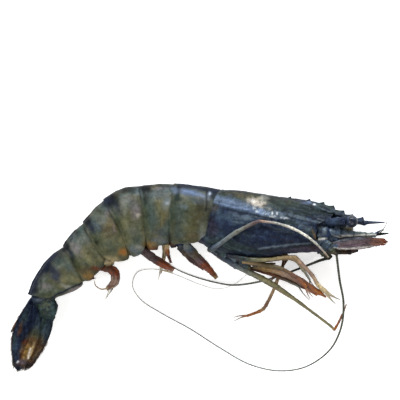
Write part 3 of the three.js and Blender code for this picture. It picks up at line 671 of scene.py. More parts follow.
pigment_and_painted_light = paint_lines(shield, pigment_and_painted_light, [
    *streaks(26, (262, 198), (300, 210), 0.25, (6, 14), DARK, strength=(0.35, 0.7)),
    *streaks(46, (282, 203), (326, 222), 0.28, (6, 15), DARK, strength=(0.4, 0.85)),
    *streaks(16, (284, 204), (324, 220), 0.28, (4, 9), ["slate", "mist", "teal", "blue"],
             strength=(0.3, 0.6)),
    *streaks(18, (222, 210), (290, 224), 0.18, (6, 16), ["navy", "deep", "mist", "slate"],
             strength=(0.2, 0.5)),
    *streaks(18, (204, 228), (250, 250), 0.5, (6, 16), ["deep", "teal", "pine", "slate", "black"],
             strength=(0.3, 0.6)),
    *streaks(20, (240, 226), (310, 243), 0.1, (6, 16), ["deep", "navy", "purple", "slate"],
             strength=(0.25, 0.5)),
    *streaks(16, (225, 191), (285, 197), 0.1, (6, 12), ["moss", "dark", "umber", "deep"],
             strength=(0.3, 0.6)),
])
# The fade marks at (264, 198) and (270, 208) and the mist at (276, 218) are painted highlights; the purple at
# (213, 228) is painted shade along the rear edge.
pigment_and_painted_light = paint(shield, pigment_and_painted_light, [
    (303, 226.5, 7, 3, 12, "slate", 0.75), (302, 226, 4, 1.4, 12, "mist", 0.5),
    (289, 221.5, 7, 2, 10, "teal", 0.6), (322, 215.5, 8, 2.6, 16, "deep", 0.5),
    (297, 216, 10, 1.6, 10, "mist", 0.35), (300, 207, 7, 2, 12, "bottle", 0.5),
    (284, 206, 6, 2.4, 12, "bottle", 0.4), (310, 233, 4, 4, 0, "teal", 0.35),
    (250, 250, 18, 3, 6, "bottle", 0.5), (214, 208, 4, 5, 0, "umber", 0.4),
    (213, 228, 4, 10, 0, "purple", 0.35), (264, 198, 5, 2.2, 6, "fade", 0.5),
    (270, 208, 3, 1.8, 10, "fade", 0.45), (276, 218, 4, 1.4, 12, "mist", 0.45),
    (222, 193, 4, 2.4, 0, "bottle", 0.75), (228, 197, 5, 1.8, 10, "slate", 0.5),
    (290, 203, 7, 2.2, 8, "bottle", 0.65), (277, 198, 5, 1.8, 8, "bottle", 0.45),
    (307, 229.5, 5, 2.5, -20, "mist", 0.45), (317, 233, 3, 3, 0, "slate", 0.5),
    (246, 252.5, 9, 1.8, 6, "slate", 0.5), (206, 239, 3, 3, 0, "slate", 0.5)])
# Painted highlights: glints of light strewn along the upper flank, and a few larger ones.
glints = RNG.uniform(0, 1, (22, 2))
painted_highlights = [(254 + 30 * a, 208 + 8 * a + 3 * b, 0.5 + 0.6 * b, 0.4, 60 - 90 * b, "glint", 0.2 + 0.3 * b)
          for a, b in glints]
painted_highlights += [(254, 208, 1.4, 1.0, 0, "glint", 0.9), (256, 211, 1.0, 1.6, 0, "glint", 0.8),
           (209, 193, 1.4, 1.6, 0, "glint", 0.8),
           (314, 204.5, 1.5, 1.0, 0, "glint", 1.0), (309, 202, 2.5, 0.8, 10, "sky", 0.8),
           (272, 213, 0.8, 1.8, 0, "glint", 0.9),
           (276.5, 213.5, 0.8, 1.6, 0, "glint", 0.8), (268, 214, 1.2, 1.2, 0, "sky", 0.8),
           (271.5, 216.5, 2.4, 1.0, 10, "glint", 0.7), (286, 218, 2.5, 0.7, 10, "glint", 0.7)]
pigment_and_painted_light = paint(shield, pigment_and_painted_light, painted_highlights, wobble=0.1)
x, y, z = np.moveaxis(shield, -1, 0)
streak = noise(np.stack([0.35 * x + 1.3 * y, 0.6 * z, 0 * x], -1), 1.3, 260)
pigment_and_painted_light = pigment_and_painted_light * (1 + 0.22 * streak)[..., None]
# Painted shade on the turned-in front and rear edges of the shield.
shaded_rims = np.zeros(shield.shape[:2])
shaded_rims[-4:] = 1
shaded_rims[:3] = 1
pigment_and_painted_light = toward(pigment_and_painted_light, "deep", 0.85 * shaded_rims)
grid_mesh("shield", shield, pigment_and_painted_light, SHELL, ["carapace"])

# ---------------------------------------------------------------- rostrum


def rostrum():
    xs = np.concatenate([np.linspace(12, 57, 420), np.linspace(57.1, 65.1, 60)])
    fine = np.linspace(0, 1, 400)
    top_line, low_line = smooth_rows(ROSTRUM_TOP, fine), smooth_rows(ROSTRUM_BOTTOM, fine)
    top = np.interp(xs, top_line[:, 0], top_line[:, 1]) + 0.26 * smoothstep(xs, 52, 58)
    low = np.interp(xs, low_line[:, 0], low_line[:, 1]) - 0.26 * smoothstep(xs, 52, 58)
    tooth = np.zeros_like(xs)
    for at in TEETH:
        rise = np.clip((xs - (at - 4.4)) / 4.4, 0, 1) ** 1.6 * (xs <= at)
        fall = np.clip(1 - (xs - at) / 0.5, 0, 1) ** 0.7 * (xs > at)
        tooth = np.maximum(tooth, 1.6 * (rise + fall))
    top = top + tooth - 0.15
    sides = 48
    a = around(sides)
    v = np.cos(a)[None]
    thick = np.interp(xs, [12, 28, 34, 40, 47, 57, 65.1], [1.2, 2.2, 2.5, 2.1, 1.35, 0.85, 0.35])[:, None]
    wide = thick * np.abs(np.sin(a))[None] ** 0.8 * np.sign(np.sin(a))[None]
    # The blade is thinner towards its teeth and has a rib along each side.
    slim = lerp(1, 0.28, smoothstep(v, 0.0, 0.95))
    rib = 1 + 0.30 * hill(v, -0.1, 0.16)
    y = (top + low)[:, None] / 2 + (top - low)[:, None] / 2 * v
    z = MID + wide * slim * rib * np.ones_like(y)
    grid = np.stack([np.broadcast_to(xs[:, None], y.shape), y, z], -1)
    grid[..., 2] += 0.12 * noise(grid, 1.5, 40)
    base = ramp(xs, [(12, "moss"), (26, "pine"), (30, "slate"), (38, "pine"), (46, "deep"), (50, "navy"),
                     (58, "navy"),
                     (65, "slate")])
    base = np.broadcast_to(base[:, None], grid.shape)
    base = tinge(grid, base, 1.6, 300, [("deep", 0.8), ("slate", 0.5), ("olive", 0.3)])
    base = toward(base, "deep", 0.45 * smoothstep(v, 0.1, -0.8))
    base = toward(base, "black", 0.8 * smoothstep(v, 0.72, 0.95))
    base = toward(base, "slate", 0.35 * hill(v, 0.45, 0.2) * smoothstep(xs, 30, 36)[:, None])
    grid_mesh("rostrum", grid, base, SHELL)


rostrum()

# ---------------------------------------------------------------- abdomen

RING_ANGLES = even_angles(200)
# Marks on the six rings, in the same form.
RING_MARKS = [
    (190, 216, 9, 18, 0, "olive", 0.6), (199, 214, 7, 18, 10, "umber", 0.7),
    (181, 214, 6, 16, 0, "teal", 0.6), (184, 206, 3.5, 2.5, 0, "mist", 0.5),
    (194, 236, 9, 5, 0, "umber", 0.6), (180, 234, 6, 7, 0, "teal", 0.5),
    (198, 201, 10, 3, 10, "slate", 0.6), (194, 217, 13, 18, 4, "moss", 0.42),
    (189, 228, 6, 7, 0, "khaki", 0.3), (203, 231, 4, 7, 6, "grey", 0.5), (204, 237, 4, 4, 0, "mist", 0.4),
    (160, 212, 6, 15, 0, "khaki", 0.6), (151, 216, 4, 17, 0, "teal", 0.6), (166, 206, 4, 8, 0, "grey", 0.6),
    (167, 229, 4, 9, 0, "teal", 0.7), (160, 241, 9, 3.2, 0, "mist", 0.5),
    (161, 188, 12, 2.0, 0, "lilac", 0.5), (160, 194, 12, 5, 0, "slate", 0.5),
    (161, 233, 5, 5, 0, "slate", 0.5), (155, 216, 4, 10, 0, "teal", 0.4),
    (130, 218, 8, 18, -10, "khaki", 0.4), (136, 212, 5, 7, 0, "lilac", 0.7),
    (128, 199, 6, 4, 0, "lilac", 0.3), (139, 192, 5, 4, 0, "mist", 0.5),
    (122, 208, 4, 9, -20, "umber", 0.4), (139, 228, 4, 9, -5, "olive", 0.6),
    (133, 232, 6, 5, 0, "grey", 0.4), (125, 202, 6, 6, 0, "grey", 0.5), (132, 240, 9, 8, -20, "olive", 0.5),
    (140, 242, 6, 6, 0, "teal", 0.5), (136, 252, 9, 4, 30, "mist", 0.55),
    (133, 204, 6, 6, 0, "slate", 0.35), (123, 210, 4, 7, -20, "grey", 0.5),
    (122, 226, 3.6, 7, -24, "khaki", 0.6), (124, 240, 5, 7, -10, "sand", 0.7),
    (145, 241, 4, 5, 0, "sand", 0.6), (107, 231, 7, 9, -24, "umber", 0.75),
    (114, 226, 4, 8, -28, "amber", 0.4), (101, 217, 6, 9, -30, "grey", 0.7),
    (108, 214, 4, 4, 0, "lilac", 0.5), (117, 241, 5, 7, -24, "khaki", 0.5),
    (100, 238, 4, 8, -30, "olive", 0.6), (113, 248, 9, 6, 0, "olive", 0.6),
    (96, 226, 4, 8, -30, "slate", 0.5), (112, 258, 8, 4, 0, "khaki", 0.5),
    (107, 209, 5, 5, -30, "slate", 0.45), (104, 251, 6, 5, 0, "khaki", 0.4),
    (79, 243, 6, 6, 0, "grey", 0.6), (74, 247, 4, 6, -30, "lilac", 0.5), (91, 251, 8, 9, -30, "khaki", 0.6),
    (80, 253, 5, 6, -30, "lilac", 0.35), (86, 240, 5, 5, 0, "grey", 0.4), (97, 261, 8, 4, 0, "khaki", 0.6),
    (83, 262, 7, 5, -30, "olive", 0.5), (73, 236, 5, 5, -30, "slate", 0.4),
    (86, 255, 6, 7, -30, "sand", 0.55), (106, 238, 5, 7, -24, "sand", 0.35),
    (84, 270, 8, 4, 10, "umber", 0.7), (94, 269, 7, 3.5, 15, "brown", 0.8),
    (64, 281, 9, 7, -30, "sand", 0.5), (67, 263, 6, 8, -30, "teal", 0.5), (57, 260, 4, 5, 0, "teal", 0.5),
    (46, 287, 5, 4, 10, "lilac", 0.7), (69, 280, 7, 6, 0, "olive", 0.5), (44, 292, 5, 2.2, 10, "grey", 0.5),
    (72, 268, 4, 7, -30, "slate", 0.4), (50, 289, 7, 3, 10, "grey", 0.5),
]
# Dark spots and bands over the drifts of colour, and the few bright ones.
# The sky, glint and cream marks, the blue band over the first ring, the mist at (167, 202) and the lilac
# streak at (115.5, 228) are painted highlights; the dark and deep bands at (210, 210) and (208, 226) are
# painted shade under the shield's rear edge.
RING_SPOTS = [
    (185, 185, 9, 3.4, 6, "black", 0.9), (210, 210, 3.6, 12, 10, "dark", 0.7),
    (208, 226, 2.4, 12, 6, "deep", 0.6), (201, 207, 6, 5, 10, "dark", 0.6),
    (204, 216, 3, 7, 10, "dark", 0.4), (177, 196, 3.6, 8, 6, "bottle", 0.85),
    (171.5, 214, 2.2, 16, 4, "pine", 0.6), (171, 238, 3, 5, 0, "dark", 0.3),
    (146, 188, 6, 6, 0, "black", 1.0), (146.5, 199, 2.6, 7, 4, "dark", 0.6),
    (146, 220, 2.2, 14, -4, "pine", 0.4), (161, 185.5, 12, 1.8, 0, "dark", 0.6),
    (129, 190, 9, 3.4, 6, "dark", 0.65), (112, 199, 7.5, 9, -24, "black", 1.0),
    (107, 201, 5, 5, -30, "deep", 0.8), (117, 208, 3.0, 8, -24, "deep", 0.6),
    (118, 224, 2.2, 10, -24, "moss", 0.55), (97, 209, 7, 2.4, 38, "dark", 0.6),
    (87, 220, 5, 8, -30, "black", 1.0), (92, 228, 3, 7, -32, "deep", 0.8),
    (98, 241, 3, 9, -34, "moss", 0.6), (97, 242, 1.4, 2, 0, "black", 0.7),
    (76, 232, 6, 2.4, 42, "dark", 0.6), (65, 246, 4.5, 6, -30, "black", 1.0),
    (71, 254, 3, 7, -32, "deep", 0.7), (76, 264, 3.4, 8, -32, "moss", 0.6),
    (73, 259, 1.6, 3, -20, "black", 0.6), (46, 265, 6.5, 10, -14, "black", 1.0),
    (45, 268, 3, 5, 0, "deep", 0.7), (56, 275, 5.5, 8.5, -18, "navy", 0.8),
    (53, 270, 3.0, 4, -10, "deep", 0.7), (34, 277, 5, 11, 20, "deep", 0.9),
    (124, 252, 5, 4.2, 0, "amber", 0.9), (124, 252, 3, 2.4, 0, "orange", 0.6),
    (89, 276, 6, 4, 20, "amber", 0.9), (84, 272, 5, 3, 20, "umber", 0.8), (150, 244, 6, 3, 0, "amber", 0.7),
    (98, 268, 5, 2.4, 0, "rust", 0.6), (209, 193, 3, 2.4, 0, "sky", 0.8),
    (209, 193, 1.4, 1.4, 0, "glint", 0.8), (168, 203, 1.6, 2.4, 0, "glint", 0.25),
    (138, 215.5, 2.2, 1.8, 0, "highlight_cream", 0.36), (115.5, 228, 1.4, 4.0, -28, "lilac", 0.5),
    (190, 192, 12, 3.6, 12, "blue", 0.55), (167, 202, 3, 5, 0, "mist", 0.5),
    (174, 190, 3.4, 4, 0, "sky", 0.4), (180, 199, 3.5, 3, 0, "bottle", 0.5),
    (203, 238, 4, 3, 0, "mist", 0.4), (186, 243, 5, 1.6, 0, "grey", 0.6), (141, 248, 5, 3, 15, "fade", 0.6),
    (100, 212, 6, 5, -30, "moss", 0.5), (84, 229, 3, 4, -30, "dark", 0.5),
    (60, 253, 4, 4, -30, "dark", 0.45), (36, 288, 4, 5, 10, "black", 0.55),
    (105, 259, 7, 3.6, 10, "sand", 0.7), (114, 259, 8, 3, 10, "straw", 0.4),
    (78, 280, 6, 3.5, 20, "sand", 0.6), (68, 287, 7, 2.2, 20, "fade", 0.5),
]


def ring(index):
    front, rear = np.array(HINGES[index]), np.array(HINGES[index + 1])
    back_swell, lobe_swell = RINGS[index]
    ts = np.concatenate([np.linspace(-0.10, 0.0, 8, endpoint=False),
                         np.linspace(0.0, 0.86, 44, endpoint=False),
                         np.linspace(0.86, 1.045, 22)])
    t = ts[:, None] + 0 * RING_ANGLES[None]
    angle = RING_ANGLES[None] + 0 * t
    up_share = section(angle, 1, 1, 0)[0]
    inner = np.clip(t, 0, 1)
    hump = 4 * inner * (1 - inner)
    tuck = 0.5 * smoothstep(0.06 - t, 0, 0.13)
    rim = 0.22 * smoothstep(t, 0.72, 0.98) - tuck
    back = back_swell * hump + rim
    lobe = lobe_swell * hump ** 0.6 + rim - 0.3 * np.abs(2 * inner - 1) ** 6
    row = lerp(front, rear, t[..., None])
    lean = np.radians(row[..., 2])
    shift = (back - lobe) / 2
    width = row[..., 4] + rim
    recess = RECESS * lerp(0.9, 0.5, index / 5)
    grid = trunk(row[..., 0] - np.sin(lean) * shift, row[..., 1] + np.cos(lean) * shift, row[..., 2],
                 row[..., 3] + back + lobe, width, width - FLAT, angle, recess)
    # Both edges bow along the body, differently high up and low down on the flank.
    bow = lerp(bow_at(index, up_share), bow_at(index + 1, up_share), inner) * np.abs(np.sin(angle)) ** 0.5
    lower = smoothstep(-up_share, 0.55, 1.05)
    along = (front[:2] - rear[:2]) / np.linalg.norm(front[:2] - rear[:2])
    # The lobes are rounded below.
    corner = 0.6 * lower * (smoothstep(1 - inner, 0.45, 0) - smoothstep(inner, 0.45, 0))
    grid[..., :2] += (bow + corner)[..., None] * along
    normal = grid_normals(grid)
    turn = np.minimum(angle, 2 * math.pi - angle)
    side = np.abs(np.sin(angle))
    keel = (0, 0, 0.25, 0.5, 0.6, 0.7)[index]
    relief = keel * hill(turn, 0, 0.10) * smoothstep(inner, 0.05, 0.5)
    # The hinge line, a low rib with a groove below it.
    relief += 0.10 * hill(up_share, -0.42, 0.10) * np.sin(math.pi * inner) * side
    relief += -0.10 * hill(up_share, -0.58, 0.08) * np.sin(math.pi * inner) * side
    relief += 0.24 * noise(grid, 6, 50 + index) + 0.09 * noise(grid, 1.8, 60 + index)
    inside_bay = (side < 0.55) & (np.cos(angle) < 0)
    # Folds across the belly.
    relief += np.where(inside_bay, 0.5 * np.sin(2 * math.pi * inner * 1.5) * (0.55 - side), 0) 
    grid = grid + normal * relief[..., None]
    inset = 0.35
    edge = grid[-1:] - normal[-1:] * inset
    under = grid[-6:-5] - normal[-6:-5] * (inset + 0.25)
    grid = settle(np.vstack([grid, edge, under]))
    t, angle, k = (np.vstack([v, v[-1:], v[-1:]]) for v in (t, angle, up_share))
    kk = k + 0.1 * noise(grid, 5, 70 + index)
    base = ramp(kk, [(-1.15, "dark"), (-0.97, "moss"), (-0.8, "olive"), (-0.4, "olive"), (0.2, "olive"),
                     (0.6, "grey"),
                     (0.85, "teal"), (0.97, "dark")])
    base = base * np.array([1.16, 1.12, 1.06])
    # Drifts of colour, drawn out a little from the back down the flank.
    turned = np.minimum(angle, 2 * math.pi - angle)
    drift = np.stack([t * 11 + 20 * index, turned * 6.5, np.sign(np.sin(angle)) * 9], -1)
    drifts = [("umber", 0.6), ("teal", 0.55), ("grey", 0.35), ("khaki", 0.45), ("pine", 0.5)]
    pigment_and_painted_light = tinge(drift, base, 3.2, 310 + index, drifts)
    pigment_and_painted_light = paint(grid, pigment_and_painted_light, RING_MARKS, seed=5)
    pigment_and_painted_light = tinge(grid, pigment_and_painted_light, 1.2, 320, [("moss", 0.3), ("grey", 0.2), ("dark", 0.2)])
    pigment_and_painted_light = pigment_and_painted_light * (0.95 + 0.12 * noise(drift, 1.6, 330) + 0.08 * noise(grid, 0.9, 331))[..., None]
    # Dark bands along the front and rear edges of each ring: partly the shell's own banding, partly painted
    # shade where the rings overlap.
    wander = 0.03 * noise(grid, 3.0, 80)
    seam = 0.75 * hill(t - 0.95 + wander, 0, 0.06) + 0.85 * smoothstep(0.13 - t + wander, 0, 0.13)
    seam_colour = ramp(kk, [(-1, "olive"), (-0.3, "moss"), (0.3, "pine"), (0.7, "dark"), (1, "black")])
    seam = np.clip(seam, 0, 1) * (0.72 + 0.3 * noise(grid, 2, 81) + 0.25 * smoothstep(k, 0.3, 0.8)
                                  - 0.3 * smoothstep(-k, 0.2, 0.8))
    pigment_and_painted_light = lerp(pigment_and_painted_light, seam_colour, np.clip(seam, 0, 1)[..., None])
    # Painted shade at and under the turned-under rear edge.
    pigment_and_painted_light = toward(pigment_and_painted_light, "dark", smoothstep(t, 0.99, 1.02) * 0.3)
    pigment_and_painted_light = paint(grid, pigment_and_painted_light, RING_SPOTS, wobble=0.7, seed=6)
    if index == 0:
        # The sky lines are a painted highlight band across the top of the first ring; the deep stroke at
        # (216, 190) is painted shade in the notch under the shield's edge.
        pigment_and_painted_light = paint_lines(grid, pigment_and_painted_light, [
            ([(183, 190.5), (190, 192), (198, 194.5), (208, 198)], 1.2, "sky", 0.36),
            ([(184, 191), (193, 193), (205, 197)], 0.4, "sky", 0.4),
            ([(180, 184.5), (192, 186), (204, 189), (222, 192)], 1.1, "deep", 0.95),
            ([(207, 187), (206.5, 198), (206, 210)], 0.6, "black", 0.8),
            ([(216, 190), (212, 197)], 1.4, "deep", 0.8),
        ])
    if index == 5:
        pigment_and_painted_light = paint_lines(grid, pigment_and_painted_light, [
            ([(87, 280.5), (75, 286), (63, 291.8), (52, 297)], 0.45, "deep", 0.95),
            ([(88, 284), (76, 289), (66, 295), (57, 300)], 0.7, "lilac", 0.9),
            ([(29, 292), (34, 279), (43, 265), (54, 254)], 2.8, "deep", 1.0),
            ([(41, 290), (41, 277), (45, 264)], 0.5, "black", 0.5),
        ])
    belly = np.vstack([inside_bay, inside_bay[-1:], inside_bay[-1:]])
    pigment_and_painted_light = np.where(belly[..., None], lerp(PALETTE["flesh"], PALETTE["olive"], 0.5), pigment_and_painted_light)
    grid_mesh(f"ring_{index + 1}", grid, pigment_and_painted_light, RING, [f"abdomen_{index + 1}"])


for index in range(6):
    ring(index)


# ---------------------------------------------------------------- tubes, leaves and hairs


def frame_along(centre):
    """Tangent, upright and side directions along a line, untwisted. The upright stays near +Z."""
    tangent = np.gradient(centre, axis=0)
    tangent /= np.maximum(np.linalg.norm(tangent, axis=1, keepdims=True), 1e-9)
    up = np.zeros_like(tangent)
    current = np.array([0.0, 0, 1])
    for i, d in enumerate(tangent):
        current = current - d * (current @ d)
        current = current / np.linalg.norm(current)
        up[i] = current
    return tangent, up, np.cross(tangent, up)


def tube_grid(route, steps, sides, thickness=1.0, joints=0.0, waist=0.0):
    """Rings of a tube along a route of (x, y, z, radius). joints swells it at each joint, waist thins it
    between them."""
    route = np.asarray(route, float)
    t = np.linspace(0, 1, steps)
    centre = route_points(route[:, :3], t)
    place = t * (len(route) - 1)
    radius = np.interp(place, np.arange(len(route)), route[:, 3])
    for j in np.arange(1, len(route) - 1):
        radius = radius * (1 + joints * hill(place, j, 0.11)
                           - 0.5 * joints * hill(place - j, 0.22, 0.12))
    radius = radius * (1 - waist * np.sin(math.pi * (place % 1)) ** 2)
    tangent, up, side = frame_along(centre)
    a = around(sides)
    ca, sa = np.cos(a), np.sin(a)
    outward = side[:, None] * ca[None, :, None] + thickness * up[:, None] * sa[None, :, None]
    grid = centre[:, None] + radius[:, None, None] * outward
    return grid, t, place, radius, centre, (tangent, up, side)


def join(parts):
    """Several (points, faces, values) solids as one."""
    points, faces, values, n = [], [], [], 0
    for p, f, v in parts:
        points.append(p)
        faces += [g + n for g in f]
        values.append(v)
        n += len(p)
    return np.vstack(points), faces, np.vstack(values)


def hair_parts(roots, directions, lengths, radius, colour):
    """Thin tapering hairs, three-sided, each bent a little."""
    roots, directions = np.asarray(roots, float), np.asarray(directions, float)
    directions = directions / np.linalg.norm(directions, axis=1, keepdims=True)
    n = len(roots)
    lengths = np.broadcast_to(lengths, n)[:, None]
    bend = np.cross(directions, np.tile([0.0, 0, 1], (n, 1))) * RNG.uniform(-1, 1, (n, 1)) * 0.15
    helper = np.where(np.abs(directions[:, 2:3]) > 0.8, [[1.0, 0, 0]], [[0, 0, 1.0]])
    a = np.cross(directions, helper)
    a /= np.linalg.norm(a, axis=1, keepdims=True)
    b = np.cross(directions, a)
    rings = []
    for s, r in ((0, 1), (0.5, 0.7), (1, 0.15)):
        centre = roots + directions * lengths * s + bend * lengths * s * s
        centre[:, 2] = np.maximum(centre[:, 2], radius)
        rings.append(np.stack([centre + radius * r * (a * math.cos(q) + b * math.sin(q))
                               for q in (0, 2 * math.pi / 3, 4 * math.pi / 3)], 1))
    points = np.stack(rings, 1).reshape(-1, 3)
    quads = np.array([[r * 3 + k, r * 3 + (k + 1) % 3, (r + 1) * 3 + (k + 1) % 3, (r + 1) * 3 + k]
                      for r in range(2) for k in range(3)])
    tips = np.array([[6, 7, 8], [2, 1, 0]])
    offset = (np.arange(n) * 9)[:, None, None]
    faces = [(quads[None] + offset).reshape(-1, 4), (tips[None] + offset).reshape(-1, 3)]
    return points, faces, np.tile(PALETTE[colour], (len(points), 1))


# ---------------------------------------------------------------- limbs

# Route of each limb, x, y, z and radius at its ends and joints. Then the tips of its claw, if it has one.
LIMBS = {
    "maxilliped_3_right": ([(5.5, -19.6, 12, 1.3), (11.7, -20.7, 12.2, 1.7), (19.8, -22.9, 12, 1.8),
                            (27.9, -27, 11.4, 1.6), (36, -31.9, 10.4, 1.1), (38.7, -33.8, 10.2, 0.4)], []),
    "maxilliped_3_left": ([(5.6, -20, 7.4, 1.2), (12.6, -21.6, 7.6, 1.6), (20.7, -24.3, 7.4, 1.6),
                           (28.8, -28.8, 6.8, 1.4), (35.1, -32.9, 6.2, 0.7)], []),
    "pereiopod_1_right": ([(0.9, -17.6, 15.4, 1), (9.9, -19.1, 15.8, 1.0), (18, -20.7, 15.8, 0.95),
                           (25.2, -24.8, 14.6, 0.9), (29.7, -29.2, 13.2, 0.7)],
                           [(31.5, -34.6, 12), (32.6, -33.6, 12.6)]),
    "pereiopod_2_right": ([(-1.6, -16.7, 13.3, 1), (9.9, -17.4, 14.2, 0.8), (23.9, -16.7, 12.6, 0.85),
                           (28.4, -21.6, 10.8, 0.75), (31.5, -26.1, 9.6, 0.5)],
                           [(33.2, -28.6, 9.2), (32.2, -29.2, 9)]),
    "pereiopod_3_right": ([(-5.4, -14.6, 16.3, 1.2), (2.2, -16.5, 18, 1.1), (9.9, -16.9, 17.6, 0.95),
                           (21.5, -15.7, 16.4, 0.9), (24.8, -15.9, 15.6, 0.95), (27.2, -18.4, 14.9, 1),
                           (32.4, -23.9, 12.8, 0.9), (35.2, -28.4, 12.0, 1.0), (38.4, -31.2, 11.2, 1.15)],
                          [(45.3, -35.1, 10), (43, -36.9, 9.8)]),
    "pereiopod_4_right": ([(-9.9, -14.2, 13, 1.5), (-3.6, -18.4, 13, 1.5), (3.1, -22, 12.9, 1.3),
                           (9.9, -25.2, 12.4, 1.2), (16.4, -28.8, 11.2, 1.0), (27.2, -36.6, 8.2, 0.75),
                           (41.2, -47.2, 3.8, 0.6), (42.8, -48.6, 3.2, 0.66), (43.5, -47.6, 3.0, 0.6),
                           (46.3, -42.3, 2.4, 0.55), (48.3, -37.2, 2, 0.25)], []),
    "pereiopod_5_right": ([(-13.6, -12.4, 13.4, 1.3), (-11.6, -11.4, 18.6, 1.2), (-1.8, -4.5, 21.9, 1.0),
                           (6.4, -0.3, 22.1, 0.9), (8.3, 0.4, 22.1, 0.8), (10.4, 0.3, 22.1, 0.62),
                           (16.2, -0.5, 21.9, 0.55), (23.4, -2.8, 21.4, 0.66), (29.7, -6.3, 20.2, 0.6),
                           (34.6, -10.3, 18.9, 0.52), (39.6, -15.8, 17.6, 0.3)], []),
    "pereiopod_1_left": ([(2.7, -20.4, 9.8, 1), (9.9, -22.2, 9.9, 0.9), (18, -25, 9.8, 0.85),
                          (27.4, -29.4, 9, 0.55)],
                         [(31.2, -35.1, 8.4), (30, -33.8, 8.2)]),
    "pereiopod_2_left": ([(-1.8, -16.4, 6.8, 1.2), (9.9, -17.1, 5.3, 0.85), (19.4, -16.2, 4.8, 0.8),
                          (16.2, -28.4, 3.4, 0.8), (11.8, -37.8, 2.5, 0.8), (10.6, -39.4, 2.3, 0.8),
                          (8.8, -40.5, 2.2, 0.75), (3.1, -42.6, 1.8, 0.6)],
                         [(-2.9, -43.2, 1.5), (-2.6, -44.9, 1.3)]),
    "pereiopod_3_left": ([(-5.4, -15.6, 4.8, 1.1), (9.9, -16.6, 2.7, 0.7), (21.6, -15.5, 2.2, 0.7),
                          (14.8, -25.7, 2.2, 0.6)], [(12.2, -28.4, 2), (13.5, -29.2, 2)]),
    "pereiopod_4_left": ([(-9, -15.6, 7.6, 1.2), (-1.8, -19.8, 7.2, 1.4), (4.5, -23.1, 6.6, 1.1),
                          (11.7, -27.2, 6, 0.8), (19.8, -32.3, 5.4, 0.5), (27, -37, 4.6, 0.25)], []),
    "pereiopod_5_left": ([(-12.6, -13, 5.2, 1.1), (-6.3, -17.4, 3.9, 1), (2.7, -19, 2.9, 0.9),
                          (16.2, -18.8, 2.2, 0.4)], []),
}
# Colours of each limb at its joints, in order, and how many bristles it has.
LIMB_LOOKS = {
    "maxilliped_3_right": (["umber", "amber", "pink", "clay", "orange", "orange"], 90),
    "maxilliped_3_left": (["brown", "rust", "ember", "rust", "orange"], 70),
    "pereiopod_1_right": (["tan", "umber", "umber", "clay", "orange"], 30),
    "pereiopod_2_right": (["navy", "tan", "tan", "flesh", "fade"], 24),
    "pereiopod_3_right": (["deep", "bottle", "sand", "tan", "tan", "pink", "pink", "straw", "straw"], 34),
    "pereiopod_4_right": (["deep", "slate", "grey", "sand", "sand", "sand", "sand", "orange", "orange",
                           "clay",
                           "pink"], 40),
    "pereiopod_5_right": (["bottle", "slate", "grey", "mauve", "plum", "pink", "fade", "bone", "bone",
                           "fade", "pink"], 24),
    "pereiopod_1_left": (["umber", "rust", "brown", "grey"], 24),
    "pereiopod_2_left": (["navy", "umber", "clay", "tan", "clay", "tan", "orange", "orange"], 30),
    "pereiopod_3_left": (["navy", "umber", "amber", "clay"], 12),
    "pereiopod_4_left": (["navy", "slate", "moss", "khaki", "tan", "tan"], 26),
    "pereiopod_5_left": (["navy", "olive", "tan", "tan"], 12),
}


def limb(name):
    route, tips = LIMBS[name]
    colours, bristles = LIMB_LOOKS[name]
    grid, _, place, radius, centre, (tangent, up, side) = tube_grid(
        route, 26 * (len(route) - 1), 18, joints=0.10, waist=0.06)
    grid = grid + grid_normals(grid) * (0.08 * noise(grid, 0.9, 90))[..., None]
    stops = [(j, c) for j, c in enumerate(colours)]
    warped = place[:, None] + 0.15 * noise(grid, 1.5, 91)
    pigment_and_painted_light = ramp(warped, stops)
    # Painted light and shade: each leg is lighter on the side facing up and to the back, darker on the other
    # side.
    lit = (grid - centre[:, None]) @ np.array([0.0, 0.8, 0.6]) / radius[:, None]
    pigment_and_painted_light = pigment_and_painted_light * (1 + 0.35 * smoothstep(lit, -0.2, 1) - 0.5 * smoothstep(-lit, -0.1, 0.9))[..., None]
    pigment_and_painted_light = tinge(grid, pigment_and_painted_light, 1.3, 94, [("brown", 0.22), ("moss", 0.15)])
    pigment_and_painted_light = pigment_and_painted_light * (1 + 0.3 * noise(grid, 0.7, 96))[..., None]
    for j in range(1, len(route) - 1):
        pigment_and_painted_light = toward(pigment_and_painted_light, "brown", hill(place - j, 0.02, 0.04)[:, None] * 0.3)
    parts = [grid_part(grid, pigment_and_painted_light)]
    end, before = np.array(route[-1]), np.array(route[-2])
    for tip in tips:
        start = lerp(end, before, 0.12)
        mid = lerp(start[:3], np.array(tip), 0.5) + np.cross(np.array(tip) - start[:3], [0, 0, 1]) * 0.04
        finger, *_ = tube_grid([(*start[:3], end[3] * 0.75), (*mid, end[3] * 0.45), (*tip, 0.14)], 26, 12)
        shade = ramp(np.linspace(0, 1, 26), [(0, colours[-1]), (1, "fade")])[:, None]
        parts.append(grid_part(finger, shade))
    pick = RNG.integers(8, len(centre) - 4, bristles)
    angle = RNG.uniform(0, 2 * math.pi, bristles)
    outward = side[pick] * np.cos(angle)[:, None] + up[pick] * np.sin(angle)[:, None]
    roots = centre[pick] + outward * radius[pick][:, None] * 0.9
    lean = outward + tangent[pick] * RNG.uniform(0.5, 1.6, (bristles, 1))
    hue = colours[-1] if name.startswith("pereio") else "rust"
    length = RNG.uniform(0.4, 1.2, bristles) * (1.3 if "maxil" in name else 1)
    parts.append(hair_parts(roots, lean, length, 0.035, colour=hue))
    joined_mesh(f"leg_{name}", parts, LIMB, [name], TABLE_GAP)


for name in LIMBS:
    limb(name)

# ---------------------------------------------------------------- swimming legs

